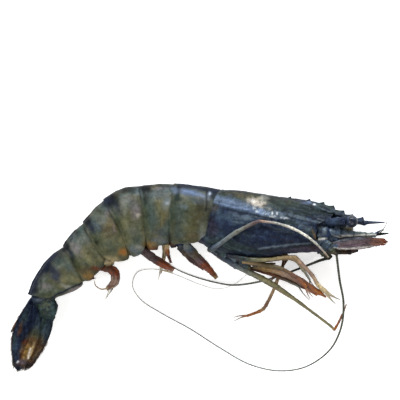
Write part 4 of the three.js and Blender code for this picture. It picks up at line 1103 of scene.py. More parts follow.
# Route and colours, from root to tip, of each swimming leg.
PADDLES = {
    "pleopod_1_right": ([(-25.2, -9.5, 12.8, 2.2), (-19.8, -15.3, 12.6, 2), (-15.3, -19.8, 12, 1.8),
                         (-10.3, -25.2, 11, 0.8)],
                        ["grey", "slate", "umber", "plum", "rust", "ember", "rust", "amber"]),
    "pleopod_1_left": ([(-27, -10.8, 7.2, 2), (-21.6, -16.7, 6.8, 1.7), (-16.2, -21.2, 6, 0.7)],
                       ["navy", "umber", "wine", "maroon", "rust"]),
    "pleopod_2_right": ([(-32.9, -9.5, 12.6, 1.2), (-32.6, -13.4, 12.4, 0.9), (-31.1, -18.4, 12, 0.4)],
                        ["amber", "straw", "orange", "maroon", "rust"]),
    "pleopod_2_left": ([(-33.8, -9.9, 6.2, 1.3), (-34.2, -15.1, 3.8, 0.9), (-36.0, -23.4, 2.4, 0.45)],
                       ["orange", "straw", "straw", "straw", "bone"]),
    "pleopod_3_right": ([(-44.6, -12.2, 11.8, 1.8), (-38.7, -16.4, 11.6, 2.0), (-33.4, -19.6, 11.2, 1.7),
                         (-29.8, -21.7, 10.8, 0.8)],
                        ["mauve", "plum", "mauve", "rust", "ember", "ember", "pink"]),
    "pleopod_3_left": ([(-44.6, -10.6, 6.9, 1.5), (-39.6, -15.6, 7, 1.5), (-32.4, -19.8, 6.6, 0.6)],
                       ["deep", "wine", "maroon", "rust"]),
    "pleopod_4_right": ([(-64.2, -20.4, 10.6, 1.3), (-60.2, -20.6, 10.6, 2.0), (-56.4, -22.8, 10.2, 2.2),
                         (-56.5, -27.2, 9.8, 1.9), (-60.2, -30.2, 9.4, 0.6)],
                        ["umber", "rust", "brown", "rust", "ember", "clay", "pink", "clay", "tan"]),
    "pleopod_4_left": ([(-62, -18.6, 5.4, 1.3), (-58.2, -21.8, 5.2, 1.3), (-56.4, -25.2, 5, 1.0),
                        (-58.5, -28.6, 4.8, 0.5)],
                       ["brown", "rust", "maroon", "tan", "straw"]),
    "pleopod_5_right": ([(-71.2, -23.4, 9, 1.3), (-68.8, -25.2, 9, 1.4), (-65.8, -24.6, 8.8, 0.6)],
                        ["umber", "orange", "amber", "rust"]),
    "pleopod_5_left": ([(-71.2, -23.4, 4.6, 1.3), (-68.8, -25.2, 4.4, 1.3), (-65.8, -24.8, 4.2, 0.5)],
                       ["umber", "amber", "rust"]),
}


# Pale threads that trail from the ends of some of them.
WISPS = {
    "pleopod_4_right": [
        ([(-60.0, -30.0, 9.4, 0.34), (-62.6, -30.2, 9.2, 0.3), (-65.0, -28.6, 9.0, 0.26),
          (-65.6, -26.4, 9.0, 0.14)], "tan"),
        ([(-58.8, -29.6, 9.2, 0.3), (-59.6, -32.4, 8.8, 0.24), (-60.9, -35.0, 8.4, 0.12)], "bone"),
        ([(-57.6, -28.8, 9.2, 0.3), (-58.6, -31.6, 8.8, 0.26), (-60.4, -34.8, 8.4, 0.12)], "bone"),
        ([(-56.6, -27.8, 9.2, 0.3), (-57.6, -30.6, 8.8, 0.26), (-59.8, -33.6, 8.4, 0.12)], "fade"),
    ],
    "pleopod_2_left": [
        ([(-35.6, -21.8, 2.4, 0.34), (-33.0, -22.2, 2.0, 0.3), (-30.6, -23.0, 1.8, 0.14)], "straw"),
        ([(-35.9, -23.0, 2.4, 0.34), (-36.6, -25.0, 2.0, 0.26), (-36.7, -26.6, 1.8, 0.12)], "bone"),
    ],
}


def wisp(route, colour):
    grid, *_ = tube_grid(route, 30, 8)
    return grid_part(grid, PALETTE[colour])


def paddle(name):
    route, colours = PADDLES[name]
    sides = 34
    grid, t, _, radius, centre, (tangent, up, side) = tube_grid(
        route, 26 * (len(route) - 1), sides, thickness=0.42)
    a = around(sides)
    across = np.cos(a)[None]
    normal = grid_normals(grid)
    t2 = t[:, None]
    rib = 0.16 * hill(across, 0, 0.14) - 0.14 * hill(np.abs(across), 0.45, 0.16)
    stalk = 0.3 * hill(t2, 0.24, 0.05) - 0.25 * hill(t2, 0.33, 0.05)
    lumps = rib * smoothstep(t2, 0.25, 0.4) + stalk * 0.5 + 0.10 * noise(grid, 1.2, 100)
    grid = grid + normal * (lumps * radius[:, None] / 1.6)[..., None]
    stops = [(i / (len(colours) - 1), c) for i, c in enumerate(colours)]
    pigment_and_painted_light = ramp(t2 + 0.10 * noise(grid, 1.4, 101), stops)
    streak = noise(np.stack([across * 3 + 0 * t2, t2 * 2.5 + 0 * across, 0 * t2 + 0 * across], -1), 0.5, 102)
    pigment_and_painted_light = pigment_and_painted_light * (1 + 0.5 * streak)[..., None]
    dark_rib = hill(across, 0.35, 0.13) + hill(across, -0.4, 0.1)
    pigment_and_painted_light = toward(pigment_and_painted_light, "wine", 0.6 * np.clip(dark_rib, 0, 1) * smoothstep(t2, 0.1, 0.3))
    edge = smoothstep(np.abs(across), 0.72, 1.0)
    pigment_and_painted_light = toward(pigment_and_painted_light, "wine", 0.7 * edge)
    parts = [grid_part(grid, pigment_and_painted_light)]
    n = int(46 * (len(route) - 1))
    at = (RNG.uniform(0.35, 1.0, n) * (len(centre) - 1)).astype(int)
    sign = RNG.choice([-1.0, 1.0], n)[:, None]
    roots = centre[at] + side[at] * sign * radius[at][:, None] * 0.92
    reach = 0.35 + 0.7 * (at / len(centre)) ** 2
    lean = side[at] * sign * (1.0 - 0.8 * (at / len(centre))[:, None]) + tangent[at] * 1.3
    lean = lean + up[at] * RNG.uniform(-0.15, 0.15, (n, 1))
    lengths = RNG.uniform(0.6, 1.4, n) * reach * 1.4
    parts.append(hair_parts(roots, lean, lengths, 0.045, colour="rust"
                            if colours[-1] not in ("straw", "fade") else "fade"))
    if name in WISPS:
        parts += [wisp(route, colour) for route, colour in WISPS[name]]
    joined_mesh(f"paddle_{name}", parts, PADDLE, [name], TABLE_GAP)


for name in PADDLES:
    paddle(name)

# ---------------------------------------------------------------- feelers

# Routes of the long feelers: x, y, z and radius.
FEELERS = {
    "flagellum_right": [
        (43.2, -14.8, 16.2, 0.55), (44.8, -26.1, 11, 0.52), (46.7, -36.5, 7.6, 0.5),
        (45.7, -47.7, 5.2, 0.46), (40.8, -57.8, 2.7, 0.40), (30.2, -65.5, 1, 0.34), (18, -67.5, 0.6, 0.30),
        (4.5, -64.6, 0.6, 0.29), (-9, -57.1, 0.6, 0.28), (-22.5, -48.5, 0.6, 0.27), (-36, -41.1, 0.5, 0.23),
        (-45, -35.1, 0.5, 0.19), (-48.6, -28.8, 0.5, 0.17), (-46.4, -22.9, 0.5, 0.16),
        (-39.6, -21.4, 0.5, 0.14), (-30.6, -23.4, 0.5, 0.13),
        (-18, -28.4, 0.5, 0.12), (-9.9, -30.4, 0.5, 0.11), (-2.7, -28.4, 0.5, 0.10), (3.1, -23.9, 0.5, 0.09)],
    "flagellum_left": [
        (40.6, -16.2, 3.7, 0.75), (36.4, -17.4, 3.2, 0.66), (33.8, -18.4, 3.1, 0.6),
        (25.7, -21.6, 2.1, 0.5), (14.4, -25.7, 0.8, 0.46), (4.5, -27.9, 1.6, 0.44),
        (-3.6, -28.6, 1.7, 0.42), (-11.2, -27.4, 0.9, 0.38),
        (-19.4, -25.2, 0.6, 0.32), (-27, -22.3, 0.6, 0.28), (-31.2, -20, 0.6, 0.25)],
}


def feeler(name):
    route = np.array(FEELERS[name])
    steps = 56 * (len(route) - 1)
    grid, t, place, _, centre, _ = tube_grid(route, steps, 10)
    rings_on = 1 + 0.07 * np.sin(place * 2 * math.pi * 10)
    grid = centre[:, None] + (grid - centre[:, None]) * rings_on[:, None, None]
    grid[..., 2] = np.maximum(grid[..., 2], TABLE_GAP)
    stops = [(0, "dark"), (0.2, "feeler"), (0.6, "grey"), (1, "grey")] if "left" in name else \
        [(0, "feeler"), (0.22, "feeler"), (0.34, "grey"), (0.56, "grey"), (0.64, "fade"), (1, "fade")]
    pigment_and_painted_light = np.broadcast_to(ramp(t, stops)[:, None], grid.shape)
    pigment_and_painted_light = pigment_and_painted_light * (1 + 0.2 * np.sin(place * 2 * math.pi * 3)[:, None, None])
    grid_mesh(f"feeler_{name}", grid, pigment_and_painted_light, FEELER, [name])


for name in FEELERS:
    feeler(name)

# ---------------------------------------------------------------- leaves: tail fan and antennal scales


def leaf_grid(root, tip, half_width, half_thickness, across=None, fullness=0.75, base=0.35, end=0.06,
              steps=110, sides=72, camber=0.0, taper=0.0, blunt=0.965):
    root, tip = np.array(root, float), np.array(tip, float)
    along = tip - root
    side = np.array(across, float) if across is not None else np.cross([0, 0, 1.0], along)
    side = side - along * (side @ along) / (along @ along)
    side /= np.linalg.norm(side)
    up = np.cross(along, side)
    up /= np.linalg.norm(up)
    t = np.linspace(0, 1, steps)
    breadth = half_width * np.maximum(lerp(base, end, t),
                                      np.sin(math.pi * np.clip(t, 0, 1) ** fullness) ** 0.5)
    breadth = breadth * (1 - taper * smoothstep(t, 0.5, 0.95))
    a = around(sides)
    v = np.cos(a)[None] + 0 * t[:, None]
    # The tip is rounded: its last rings close in.
    close = np.sqrt(np.maximum(1 - smoothstep(t, blunt, 1.0) ** 2, 0.02))[:, None]
    up_by = half_thickness * np.sign(np.sin(a))[None] * np.abs(np.sin(a))[None] ** 0.8 * close \
        - camber * (v ** 2)
    grid = root + along * t[:, None,
                            None] + side * (breadth[:, None] * v * close)[..., None] + up * up_by[..., None]
    return grid, t, v, breadth * close[:, 0], side, along


def fringe(root, along, side, breadth, start, count, length, colour, radius=0.05, spread=0.8):
    """Hairs along the outer margin of a leaf, and across its tip."""
    steps = len(breadth)
    at = (np.sqrt(RNG.uniform(start ** 2, 1, count)) * (steps - 1)).astype(int)
    sign = RNG.choice((-1, 1), count)[:, None]
    inward = np.where(at > steps - 6, RNG.uniform(0, 1, count), RNG.uniform(0.9, 1.0, count))[:, None]
    t = at / (steps - 1)
    unit = along / np.linalg.norm(along)
    roots = root + along * t[:, None] + side * sign * inward * breadth[at][:, None]
    lean = unit * (0.9 + 0.4 * t[:, None]) + side * sign * spread * (1.15 - t[:, None] ** 3) * inward
    lean = lean + np.array([0, 0, 1.0]) * RNG.uniform(-0.12, 0.12, (count, 1))
    return hair_parts(roots, lean, RNG.uniform(0.6, 1.3, count) * length, radius, colour=colour)


# The tail fan's blades: root, tip and shape of each.
BLADES = {
    "inner_blade_right": dict(root=(-93.4, -37.6, 8.8), tip=(-100.2, -67, 7.2), half_width=6.1,
                              fullness=0.95),
    "outer_blade_right": dict(root=(-87.2, -41.3, 7.1), tip=(-96.8, -66.4, 5.9), half_width=4.9,
                              fullness=0.6, base=0.9),
    "inner_blade_left": dict(root=(-93, -38.4, 2.2), tip=(-99, -65.2, 3.1), half_width=5.9, fullness=0.95),
    "outer_blade_left": dict(root=(-87.4, -41.3, 3.8), tip=(-95.4, -65.2, 4.4), half_width=4.7,
                             fullness=0.6, base=0.9),
}
BLADE_EDGE = [(40, 300), (38, 312), (34, 324), (30, 336), (25, 347), (22, 355), (20, 366)]
# The glint mark near the tip is a painted highlight.
TAIL_MARKS = [
    (30, 322, 8, 12, 10, "deep", 0.8), (24, 318, 3, 8, 15, "teal", 0.4), (14, 348, 4, 9, 8, "slate", 0.6),
    (13, 340, 3, 6, 0, "teal", 0.4), (44, 322, 4, 10, 14, "teal", 0.5), (40, 332, 4, 8, 16, "slate", 0.35),
    (35, 339, 7, 5, 16, "olive", 0.5), (33, 345, 9, 13, 20, "umber", 0.6),
    (31, 350, 8, 11, 20, "amber", 0.6), (26, 352, 4.5, 9, 18, "amber", 0.9),
    (36, 334, 6, 7, 20, "moss", 0.5), (38, 346, 4, 7, 20, "brown", 0.7), (32, 341, 4, 4, 20, "brown", 0.6),
    (25, 343, 2.5, 4, 20, "rust", 0.7), (20, 363, 6, 3.5, 0, "plum", 0.7),
    (16.5, 361.5, 1.2, 1.4, 0, "glint", 0.9), (20, 329, 2.2, 7, 20, "brown", 0.7),
    (30, 362, 5, 3, 30, "brown", 0.8), (24, 367, 5, 2, 10, "brown", 0.7),
    (30, 343.5, 3, 2.5, 0, "brown", 0.6), (24, 346, 2.5, 3, 20, "brown", 0.4),
    (33, 356, 2.5, 3.5, 20, "amber", 0.4), (40, 320, 3, 5, 12, "slate", 0.4),
    (44, 338, 2.2, 4, 20, "deep", 0.55), (25, 331, 3, 5, 12, "deep", 0.5),
    (22, 340, 2, 3.5, 15, "deep", 0.6), (14, 352, 2.4, 4, 0, "deep", 0.5),
]
# The cream line is a painted highlight.
TAIL_LINES = [
    ([(58, 304), (55, 320), (49, 338), (40, 355), (31, 366)], 0.8, "black", 0.85),
    ([(30.2, 349), (29, 353), (28, 358.5)], 0.42, "highlight_cream", 0.95),
    ([(34, 343), (31, 353), (29, 361)], 0.3, "straw", 0.5),
    ([(36, 345), (33.5, 354), (31, 361)], 0.35, "brown", 0.6), ([(23, 350), (21, 358)], 0.4, "ember", 0.5),
    ([(27, 341), (23, 350), (20, 358)], 0.5, "black", 0.7),
    ([(17, 320), (12, 336), (11, 352), (15, 366)], 0.6, "black", 0.6),
    ([(46, 314), (42, 326), (38, 338)], 0.5, "pine", 0.6),
]


def blade(name, spec):
    grid, t, v, breadth, side, along = leaf_grid(half_thickness=0.42, camber=0.25, taper=0.14, **spec)
    ribs = 0.16 * hill(v, -0.06, 0.09) + 0.10 * hill(v, 0.42, 0.09)
    ribs = ribs + 0.10 * hill(v, -0.5, 0.08) + 0.04 * np.sin(v * 42 + 3 * t[:, None])
    ribs = ribs * smoothstep(t, 0.0, 0.15)[:, None] * smoothstep(1 - t, 0.02, 0.2)[:, None]
    normal = grid_normals(grid)
    lumps = (ribs * 0.8 + 0.14 * noise(grid, 2.5, 110)) * smoothstep(1 - np.abs(v), 0, 0.12)
    grid = grid + normal * lumps[..., None]
    _, _, beyond = path_distance(grid[..., 0], grid[..., 1], [spot(*p) for p in BLADE_EDGE])
    base = np.where((beyond > 0)[..., None], lerp(PALETTE["teal"], PALETTE["deep"], 0.65), PALETTE["deep"])
    fibre = np.stack([v * 5, t[:, None] * 6 + 0 * v, 0 * v], -1)
    base = tinge(fibre, base, 0.8, 112, [("navy", 0.4), ("black", 0.8), ("slate", 0.18)])
    pigment_and_painted_light = paint(grid, base, TAIL_MARKS, wobble=0.6, seed=9)
    pigment_and_painted_light = pigment_and_painted_light * (0.9 + 0.45 * noise(fibre, 0.45, 111))[..., None]
    pigment_and_painted_light = paint_lines(grid, pigment_and_painted_light, TAIL_LINES, wobble=0.08)
    margin = smoothstep(np.abs(v), 0.9, 1.0)
    pigment_and_painted_light = toward(pigment_and_painted_light, "black", 0.6 * margin)
    parts = [grid_part(settle(grid), pigment_and_painted_light)]
    root = np.array(spec["root"], float)
    parts.append(fringe(root, along, side, breadth, 0.45, 420, 1.1, "brown", radius=0.055))
    parts.append(fringe(root, along, side, breadth, 0.85, 160, 1.3, "dark", radius=0.055))
    joined_mesh(f"fan_{name}", parts, TAIL, [name])


for name, spec in BLADES.items():
    blade(name, spec)

grid, t, v, breadth, side, along = leaf_grid(
    (-92, -33.6, 5.2), (-103.5, -50, 5.2), 1.7, 1.3, fullness=0.35, base=0.9, sides=48)
groove = -0.45 * hill(v, 0, 0.25) + 0.2 * hill(np.abs(v), 0.6, 0.2)
lumps = groove * smoothstep(1 - t, 0.1, 0.5)[:, None] + 0.05 * noise(grid, 1, 120)
grid = grid + grid_normals(grid) * lumps[..., None]
stops = [(0, "navy"), (0.35, "deep"), (0.55, "brown"), (0.75, "rust"), (0.9, "brown"), (1, "grey")]
pigment_and_painted_light = ramp(t, stops)[:, None] * (1 + 0.4 * noise(grid, 1.4, 121))[..., None]
parts = [grid_part(settle(grid), pigment_and_painted_light),
         fringe(np.array([-92, -33.6, 5.2]), along, side, breadth, 0.35, 120, 0.9, "brown")]
joined_mesh("telson_spike", parts, TAIL, ["telson"])

# The mist mark at (41, 299) and the grey one at (50, 300) are a painted highlight, a pale crescent over the
# stem.
STEM_MARKS = [
    (46, 306, 6, 5, 10, "olive", 0.7), (41, 299, 6, 2.2, -10, "mist", 0.55),
    (50, 300, 4, 2.2, 10, "grey", 0.5), (38, 306, 3, 4, 0, "pine", 0.6), (44, 313, 5, 3, 0, "moss", 0.7),
    (53, 306, 3, 6, 0, "teal", 0.6), (56, 304, 1.5, 6, 0, "black", 0.8), (34, 300, 3, 4, 0, "slate", 0.5),
    (48, 296, 8, 1.5, -8, "pine", 0.6), (46, 318, 10, 3.4, 8, "bottle", 0.8),
    (40, 312, 3, 6, 14, "bottle", 0.6), (56, 310, 2.4, 7, 14, "bottle", 0.6),
]
for name, route in {
    "tail_stem_right": [(-86.0, -33.6, 7.2, 2.8), (-86.4, -35, 7.5, 3.4), (-86.5, -37.4, 7.6, 4.2),
                        (-86.8, -40.4, 7.6, 4.0),
                        (-87.6, -43.2, 7.4, 3.0)],
    "tail_stem_left": [(-86.0, -33.6, 3.3, 2.8), (-86.4, -35, 3, 3.4), (-86.5, -37.4, 2.9, 4.2),
                       (-86.8, -40.4, 2.9, 4.0),
                       (-87.6, -43.2, 3.1, 3.0)],
}.items():
    grid, *_ = tube_grid(route, 70, 44, thickness=0.52)
    grid = grid + grid_normals(grid) * (0.35 * noise(grid, 2.6, 130) + 0.12
                                        * noise(grid, 0.9, 131))[..., None]
    pigment_and_painted_light = paint(grid, np.broadcast_to(lerp(PALETTE["teal"], PALETTE["bottle"], 0.35), grid.shape),
                    STEM_MARKS,
                    wobble=0.6)
    pigment_and_painted_light = tinge(grid, pigment_and_painted_light, 1.2, 132, [("deep", 0.6), ("slate", 0.25)])
    grid_mesh(f"fan_{name}", settle(grid), pigment_and_painted_light, TAIL, [name])

# The joint between the last ring and the tail fan.
grid, _, place, *_ = tube_grid(
    [(-86.6, -30.6, 5.3, 4.4), (-88.6, -33.8, 5.3, 5.2), (-89.6, -37.0, 5.3, 4.6),
     (-90.0, -40.0, 5.3, 3.0)], 60, 48,
    thickness=0.8)
grid = grid + grid_normals(grid) * (0.3 * noise(grid, 2.2, 135) + 0.25
                                    * np.sin(place * 5)[:, None])[..., None]
pigment_and_painted_light = paint(grid, np.broadcast_to(PALETTE["deep"], grid.shape), STEM_MARKS, wobble=0.6)
grid_mesh("fan_joint", settle(grid), pigment_and_painted_light, TAIL)

for name, flip in (("antennal_scale_right", 1), ("antennal_scale_left", -1)):
    def facing(p, flip=flip):
        return (p[0], p[1], MID + flip * (p[2] - MID))

    root = np.array(facing((41.6, -10.6, 16.2)))
    grid, t, v, breadth, side, along = leaf_grid(
        root, facing((65.0, -8.8, 15.8)), 4.4, 0.45, across=(0, -0.6, 0.8 * flip), base=0.55, end=0.6,
        camber=0.35, blunt=0.84)
    ribs = 0.3 * hill(v, 0.62, 0.10) + 0.18 * hill(v, -0.05, 0.08) + 0.05 * np.sin(v * 30)
    lumps = ribs * smoothstep(1 - t, 0.02, 0.25)[:, None] + 0.06 * noise(grid, 2, 140)
    grid = grid + grid_normals(grid) * lumps[..., None]
    stops = [(0, "slate"), (0.08, "plum"), (0.45, "plum"), (0.64, "mauve"), (0.82, "clay"), (0.95, "rust"),
             (1, "ember")]
    shade = ramp(t[:, None] + 0.14 * noise(grid, 2.5, 141), stops)
    fibre = np.stack([v * 4, t[:, None] * 6 + 0 * v, 0 * v], -1)
    shade = shade * (0.85 + 0.5 * noise(fibre, 0.5, 142))[..., None]
    shade = toward(shade, "maroon", 0.6 * smoothstep(v, 0.75, 1.0))
    shade = toward(shade, "mist", 0.6 * smoothstep(-v, 0.35, 0.9) * smoothstep(0.8 - t, 0, 0.4)[:, None])
    shade = toward(shade, "bone", 0.5 * hill(v, 0.86, 0.1) * smoothstep(0.85 - t, 0, 0.2)[:, None])
    shade = toward(shade, "grey", 0.3 * hill(v, -0.25, 0.12) * smoothstep(0.6 - t, 0, 0.3)[:, None])
    parts = [grid_part(grid, shade),
             fringe(root, along, side, breadth, 0.3, 200, 0.8, "plum"),
             fringe(root, along, side, breadth, 0.9, 220, 1.5, "ember", radius=0.07, spread=0.4)]
    joined_mesh(name.replace("antennal_", "feeler_"), parts, TAIL, [name])

# ---------------------------------------------------------------- head


def mirrored(route):
    return [(x, y, 2 * MID - z, *rest) for x, y, z, *rest in route]


def head_tube(name, route, colours, node=None, thickness=1.0, joints=0.18, steps=60, sides=40, lumps=0.12,
              extra=(), lift="mist", hairs=50, crevice=0.7, dark_share=0.75, lines=()):
    """A lumpy, jointed tube of the head with short dark hairs. extra are parts that are joined to it."""
    grid, t, place, radius, centre, (tangent, up, side) = tube_grid(
        route, steps, sides, thickness, joints=joints, waist=0.06)
    rough = lumps * noise(grid, 1.6, 150) + 0.08 * noise(grid, 0.7, 151)
    grid = grid + grid_normals(grid) * rough[..., None]
    pigment_and_painted_light = ramp(t[:, None] + 0.1 * noise(grid, 1.4, 152),
                   [(i / (len(colours) - 1), c) for i, c in enumerate(colours)])
    pigment_and_painted_light = tinge(grid, pigment_and_painted_light, 2.2, 153,
                    [("deep", dark_share), ("teal", 0.3), (lift, 0.4), ("black", 0.4)])
    # Painted light and shade: lighter on the side facing up and to the back, darker below.
    upper = (grid - centre[:, None]) @ np.array([0.0, 0.8, 0.6]) / radius[:, None]
    pigment_and_painted_light = pigment_and_painted_light * (1 + 0.3 * smoothstep(upper, 0.1, 1) - 0.55
                         * smoothstep(-upper, -0.2, 0.8))[..., None]
    pigment_and_painted_light = paint_lines(grid, pigment_and_painted_light, lines)
    for j in range(1, len(route) - 1):
        pigment_and_painted_light = toward(pigment_and_painted_light, "black", hill(place, j, 0.07)[:, None] * crevice)
    parts = [grid_part(grid, pigment_and_painted_light), *extra]
    pick = RNG.integers(4, len(centre) - 2, hairs)
    angle = RNG.uniform(0, 2 * math.pi, hairs)
    outward = side[pick] * np.cos(angle)[:, None] + thickness * up[pick] * np.sin(angle)[:, None]
    roots = centre[pick] + outward * radius[pick][:, None] * 0.9
    length = RNG.uniform(0.3, 0.8, hairs)
    parts.append(hair_parts(roots, outward + tangent[pick] * 1.4, length, 0.035, colour="dark"))
    joined_mesh(name, parts, HEAD, [node] if node else [])


EYE_STALK = [(34.6, -0.3, 12.4, 1.8), (37.6, -0.1, 13.2, 1.9), (40.5, 0, 14, 2.2), (43.5, 0.2, 14.6, 2.0),
             (47.4, 0.3, 15.5, 2.4)]
ANTENNULE = [(34.4, -4.2, 13, 2.7), (38.4, -4.6, 13, 2.9), (45, -5, 12.7, 2.3), (51, -5.7, 12, 1.55),
             (56.5, -5.9, 11.7, 1.25), (61.2, -5.8, 11.5, 0.95)]
BASE_RIGHT = [(35.2, -8.2, 14.0, 2.6), (37.4, -9.6, 14.9, 2.8), (39.8, -11.4, 15.4, 2.4),
              (41.6, -12.8, 15.9, 1.9),
              (43.2, -14.2, 16.2, 1.2)]
BASE_LEFT = [(34.6, -10.6, 5.9, 2.0), (36.6, -12.6, 5.3, 2.1), (38.4, -14, 4.8, 2),
             (39.8, -15.2, 4.5, 1.6), (41.0, -16.4, 4.2, 1.2)]
PALP = [(36.2, -12.7, 11.9, 1.2), (43.2, -13.5, 12.4, 1.1), (49.5, -13.5, 12.4, 0.95),
        (53.1, -12.8, 12.4, 0.4)]
TIPS = [(64.6, -3.4, 11.8), (66.8, -5.1, 11)]
# A fine thread that rises from between the tips of the inner feelers.
THREAD = [(62.4, -5.0, 12.2, 0.26), (64.8, -2.6, 12.4, 0.2), (66.0, 0.4, 12.6, 0.16), (65.8, 3.2, 12.6, 0.1)]


def antennule_ends(flip):
    parts = []
    for tip, colour in zip(TIPS, ("navy", "dark")):
        route = [(60.6, -5.7, 11.5, 0.7), (0.5 * (60.6 + tip[0]), 0.5 * (tip[1] - 5.6), 11.4, 0.6),
                 (*tip, 0.3)]
        route = mirrored(route) if flip else route
        grid, *_ = tube_grid(route, 30, 12)
        parts.append(grid_part(grid, PALETTE[colour]))
    if not flip:
        grid, *_ = tube_grid(THREAD, 60, 8)
        parts.append(grid_part(grid, PALETTE["fade"]))
    return parts


# Light and dark lines along the inner feelers and the root of the right long feeler.
FEELER_STREAKS = [
    ([(346, 231.5), (353, 232.4), (362, 233.4), (370, 234)], 0.4, "teal", 0.7),
    ([(340, 235.4), (350, 235.5), (360, 235.3), (369, 234.8), (377, 234.6)], 0.36, "bone", 0.8),
    ([(340, 228), (348, 230), (356, 231)], 0.3, "deep", 0.7),
    ([(328, 232), (334, 233), (341, 234.5)], 0.5, "slate", 0.6),
    ([(322, 228), (330, 227.5)], 0.35, "mist", 0.5),
    ([(318, 231.5), (322, 232), (327, 233)], 0.6, "mist", 0.6),
    ([(318, 239), (325, 238.4), (332, 237), (341, 237.6)], 0.45, "bone", 0.8),
    ([(344, 239), (350, 237.4), (362, 237)], 0.3, "black", 0.8),
]


for side_name, flip in (("right", False), ("left", True)):
    turn_over = mirrored if flip else (lambda route: route)
    head_tube(f"stalk_{side_name}", turn_over(EYE_STALK), ["deep", "deep", "navy", "navy", "deep"],
              f"eye_stalk_{side_name}",
              lumps=0.5, lift="slate", joints=0.04, crevice=0.4)
    head_tube(f"inner_feeler_{side_name}", turn_over(ANTENNULE),
              ["slate", "mist", "slate", "mist", "grey", "mist"],
              f"antennule_{side_name}", extra=antennule_ends(flip), steps=110, lumps=0.3, dark_share=0.45,
              joints=0.1,
              lines=FEELER_STREAKS)
    head_tube(f"palp_hair_{side_name}", turn_over(PALP), ["brown", "dark", "brown", "brown"],
              f"palp_{side_name}",
              thickness=0.8, lift="umber", dark_share=0.4, hairs=120)
head_tube("feeler_root_right", BASE_RIGHT, ["navy", "slate", "slate", "olive", "brown"],
          "antenna_base_right", steps=90,
          lumps=0.35, lift="grey", lines=FEELER_STREAKS)
head_tube("feeler_root_left", BASE_LEFT, ["navy", "slate", "olive", "olive", "dark"], "antenna_base_left",
          lift="khaki")

# The front of the head between the stalks and the feelers.
head_tube("brow", [(31, -5.6, MID, 5.6), (35, -5.4, MID, 6.6), (39, -5.6, MID, 6.4), (43.4, -5.2, MID, 5.0),
                   (47.5, -4.6, MID, 3.6), (51.0, -4.2, MID, 1.6)],
          ["deep", "deep", "navy", "slate", "umber", "umber"], thickness=0.92, joints=0.0, steps=80,
          sides=64, lumps=0.6, crevice=0.0)
head_tube("mouth_parts", [(22, -10.4, MID, 2.0), (28, -10.2, MID, 2.4), (34, -9.8, MID, 2.4),
                          (38.6, -10.2, MID, 1.8)],
          ["maroon", "plum", "maroon", "navy"], thickness=1.3, joints=0.0, steps=70, sides=48, lumps=0.5)

EYE_PLACE = (50, 0.3, 16.1)
EYE_RADIUS = 2.75
EYE_LEAN = 0.22                 # how far the eyes look out to the sides
for side_name, z, lean in (("right", EYE_PLACE[2], EYE_LEAN), ("left", 2 * MID - EYE_PLACE[2], -EYE_LEAN)):
    rows, cols = 70, 96
    polar = np.linspace(0.02, math.pi - 0.02, rows)
    a = around(cols)
    axis = np.array([0.97, -0.1, lean])
    axis /= np.linalg.norm(axis)
    u1 = np.cross(axis, [0, 0, 1.0])
    u1 /= np.linalg.norm(u1)
    u2 = np.cross(axis, u1)
    flat = 1 - 0.12 * smoothstep(-np.cos(polar), 0.2, 0.9)
    grid = np.array([*EYE_PLACE[:2], z]) + EYE_RADIUS * (axis * np.cos(polar)[:, None, None]
           + (u1 * np.cos(a)[:, None] + u2 * np.sin(a)[:, None])[None]
           * (np.sin(polar) * flat)[:, None, None])
    cornea = smoothstep(np.cos(polar), -0.45, -0.2)[:, None, None]
    tone = lerp(PALETTE["navy"], PALETTE["deep"], cornea) * np.ones(grid.shape)
    tone = tinge(grid, tone, 1.6, 160, [("slate", 0.35), ("black", 0.7), ("purple", 0.4)])
    grid_mesh(f"eyeball_{side_name}", grid, tone, EYE, [f"eye_{side_name}"])

# ---------------------------------------------------------------- underside of the thorax

rows = smooth_rows(THORAX, np.linspace(0, 1, 150))
a = around(88)
y = lerp(rows[:, 1:2], rows[:, 2:3], 0.5 + 0.5 * np.cos(a)[None])
grid = np.stack([np.broadcast_to(rows[:, :1], y.shape), y, MID + rows[:, 3:4] * np.sin(a)[None]], -1)
normal = grid_normals(grid)
slope = grid[..., 0] * 1.05 + 1.25 * grid[..., 1]
folds = 0.4 * np.sin(slope * 1.5) + 0.5 * noise(grid, 2.5, 170)
grid = grid + normal * folds[..., None]
pigment_and_painted_light = paint(grid, np.broadcast_to(PALETTE["navy"], grid.shape), [
    (214, 250, 8, 4, 30, "bottle", 0.8), (226, 254, 10, 4, 25, "bottle", 0.7),
    (236, 261, 10, 4, 20, "slate", 0.5),
    (266, 257, 18, 2.6, 0, "khaki", 0.8), (250, 256, 12, 3, 0, "deep", 0.6),
    (300, 253, 20, 3, 0, "purple", 0.5)])
pigment_and_painted_light = pigment_and_painted_light * (1 + 0.6 * np.sin(slope * 1.5 + 0.6))[..., None]
grid_mesh("breast", grid, pigment_and_painted_light, BELLY, ["thorax"])

# Hip joints of the walking legs, a short barrel each, between the shield's edge and the leg.
HIPS = [((-13.2, -10.4), (-11.0, -13.6)), ((-9.6, -11.8), (-6.6, -15.8)), ((-5.4, -13.4), (-1.8, -17.6)),
        ((-1.0, -14.6), (3.0, -19.0)), ((3.6, -15.4), (8.0, -19.8)), ((0.2, -18.0), (4.6, -20.8))]
for index, (inner_end, outer_end) in enumerate(HIPS):
    for side_name, z, lean in (("right", 14.4, 1.0), ("left", 5.8, -1.0)):
        halfway = lerp(np.array(inner_end), np.array(outer_end), 0.5)
        head_tube(f"hip_{index + 1}_{side_name}",
                  [(*inner_end, z - lean, 1.7), (*halfway, z, 1.4), (*outer_end, z + 0.3 * lean, 0.9)],
                  ["bottle", "deep", "teal", "umber" if index > 2 else "slate"], joints=0.1, steps=40,
                  sides=28, lumps=0.25,
                  crevice=0.3, hairs=12)

